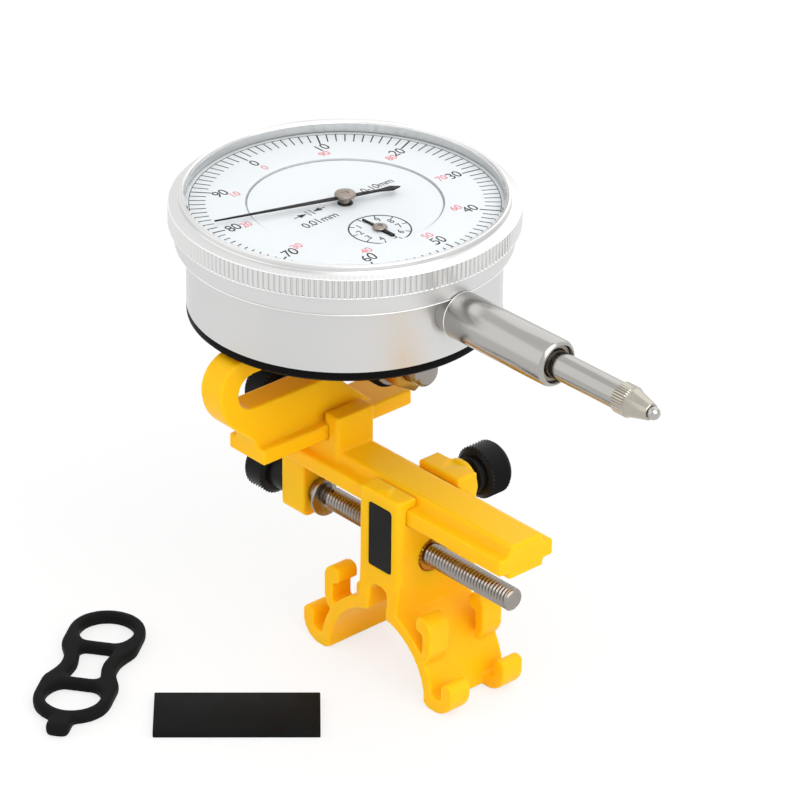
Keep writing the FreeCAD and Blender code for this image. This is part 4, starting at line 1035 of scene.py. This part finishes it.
# stem, bush and spindle: rows of radius and place along the stem
stemSet = {"stem": [(2.75, 23.0), (3.6, 23.0), (3.6, 28.1), (3.85, 28.1), (3.97, 28.2),
                    (4.0, 28.35), (4.0, 50.0), (3.88, 50.28), (3.62, 50.62), (3.5, 50.72),
                    (3.27, 50.74), (3.25, 50.6), (3.25, 45.1), (2.75, 45.1)],
           "bush": [(2.36, 45.1), (3.22, 45.1), (3.22, 49.8), (3.1, 50.02), (2.55, 50.02),
                    (2.36, 49.8)],
           "rod": [(1.9, -24.3), (2.2, -24.3), (2.3, -24.1), (2.3, 64.75)]}


def makeStem():
    stem = wallRings("stem", stemSet["stem"], 96, stemPlace, "X")
    smooth(stem, 35)
    finish(stem, "stemSteel", "indicator", "stem")
    bush = wallRings("stemBush", stemSet["bush"], 80, stemPlace, "X")
    smooth(bush, 35)
    finish(bush, "bronzeCap", "indicator", "stem_bush")
    rod = turnRings("spindle", stemSet["rod"], 96, place=stemPlace, axis="X")
    smooth(rod, 35)
    finish(rod, "spindleSteel", "spindle", "spindle")


makeStem()

# contact point: a knurled collar, a cone and the ball in its nose
collarSet = {"radius": 2.6, "ridges": 36, "columns": 4, "deep": 0.16, "start": 64.75,
             "long": 2.8, "cone": 3.9, "nose": 1.3, "ball": 1.1, "ballAt": 71.9, "steps": 14,
             "hidden": 5}


def makeContact():
    values = collarSet
    radius, start, nose = values["radius"], values["start"], values["nose"]
    end = start + values["long"]
    tip = end + values["cone"]
    rows = [(radius - 0.25, start), (radius, start + 0.2), (radius, end - 0.35),
            (radius - 0.2, end - 0.1), (radius - 0.25, end), (nose + 0.12, tip - 0.12),
            (nose, tip)]
    around = values["ridges"] * values["columns"]
    point = turnRings("contactPoint", rows, around)
    pick(point)

    def groove(spot):
        return (columnAt(spot, around) % values["columns"] == 0
                and spot.xy.length / mm > radius - 0.3
                and start + 0.1 < spot.z / mm < end - 0.2)

    selectWhere(point, groove)
    swellRound((radius - values["deep"]) / radius)
    leaveEdit()
    layAlong(point, stemPlace, "X")
    smooth(point, 30)
    finish(point, "contactSteel", "spindle", "contact_point")
    ballRadius, steps = values["ball"], values["steps"]
    turns = [math.pi * (index + 0.5) / steps for index in range(values["hidden"], steps)]
    rows = [(ballRadius * math.sin(turn), -ballRadius * math.cos(turn) + values["ballAt"])
            for turn in turns]
    ball = turnRings("contactBall", rows, 48, place=stemPlace, axis="X")
    smooth(ball, 40)
    finish(ball, "rimChrome", "spindle", "contact_ball")


makeContact()


# dial case
def makeCase():
    # the case keeps its openings, so it is a rounded copy of the frame's own
    case = softCopy("dial_case", "dialCase", 0.12, angle=40)
    smooth(case, 28)
    finish(case, "caseSatin", "indicator", "dial_case")


makeCase()

# thin rounds on the sharp edges of case, bezel and stem, in a brighter metal colour that is a
# painted highlight
beadSet = {"half": 0.08, "out": 0.03, "crown": 0.09,
           "beads": (("ringBead", "indicator", 27.93, 69.55),
                     ("ringTopBead", "indicator", 27.95, 72.85),
                     ("bandBead", "bezel", 28.93, 73.03),
                     ("bandTopBead", "bezel", 28.9, 76.3)),
           "stem": [(3.9, 28.12), (4.04, 28.16), (4.06, 28.24), (4.0, 28.34), (3.9, 28.3)]}


def makeEdgeLines():
    half, out, crown = beadSet["half"], beadSet["out"], beadSet["crown"]
    for name, body, radius, height in beadSet["beads"]:
        rows = [(radius - half, height - half), (radius + out, height - half),
                (radius + crown, height), (radius + out, height + half),
                (radius - half, height + half)]
        bead = wallRings(name, rows, 180, dialPlace)
        smooth(bead, 80)
        finish(bead, "paintedEdgeHighlight", body)
    bead = wallRings("stemBead", beadSet["stem"], 96, stemPlace, "X")
    smooth(bead, 80)
    finish(bead, "paintedEdgeHighlight", "indicator")


makeEdgeLines()

# spring washer: most of a turn of square wire, open at its split
washerSet = {"wide": 1.42, "thick": 1.06, "radius": 3.32, "turn": 345, "steps": 60,
             "across": 7.4, "height": 49.3}


def makeSpringWasher():
    values = washerSet
    wire = flatPlate("springWasher", values["wide"], values["thick"])
    editAll(wire)
    bpy.ops.transform.rotate(value=math.pi / 2, orient_axis="X", center_override=(0, 0, 0))
    bpy.ops.transform.translate(value=(values["radius"] * mm, 0, 0))
    bpy.ops.mesh.spin(steps=values["steps"], dupli=False, angle=math.radians(values["turn"]),
                      center=(0, 0, 0), axis=(0, 0, 1))
    bpy.ops.mesh.select_all(action="SELECT")
    bpy.ops.mesh.remove_doubles(threshold=1e-6)
    bpy.ops.mesh.select_all(action="DESELECT")
    bpy.ops.mesh.select_mode(type="EDGE")
    bpy.ops.mesh.select_non_manifold(extend=False)
    bpy.ops.mesh.edge_face_add()
    faceOutwards()
    leaveEdit()
    wire.rotation_euler = axisTurns["X"]
    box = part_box("spring_washer")
    middle = (box[0][0] + box[1][0]) / 2
    wire.location = (middle, values["across"] * mm, values["height"] * mm)
    settle(wire)
    smooth(wire, 40)
    finish(wire, "screwSteel", nodeBody("spring_washer"), "spring_washer")


makeSpringWasher()
print("indicator and fittings are made")
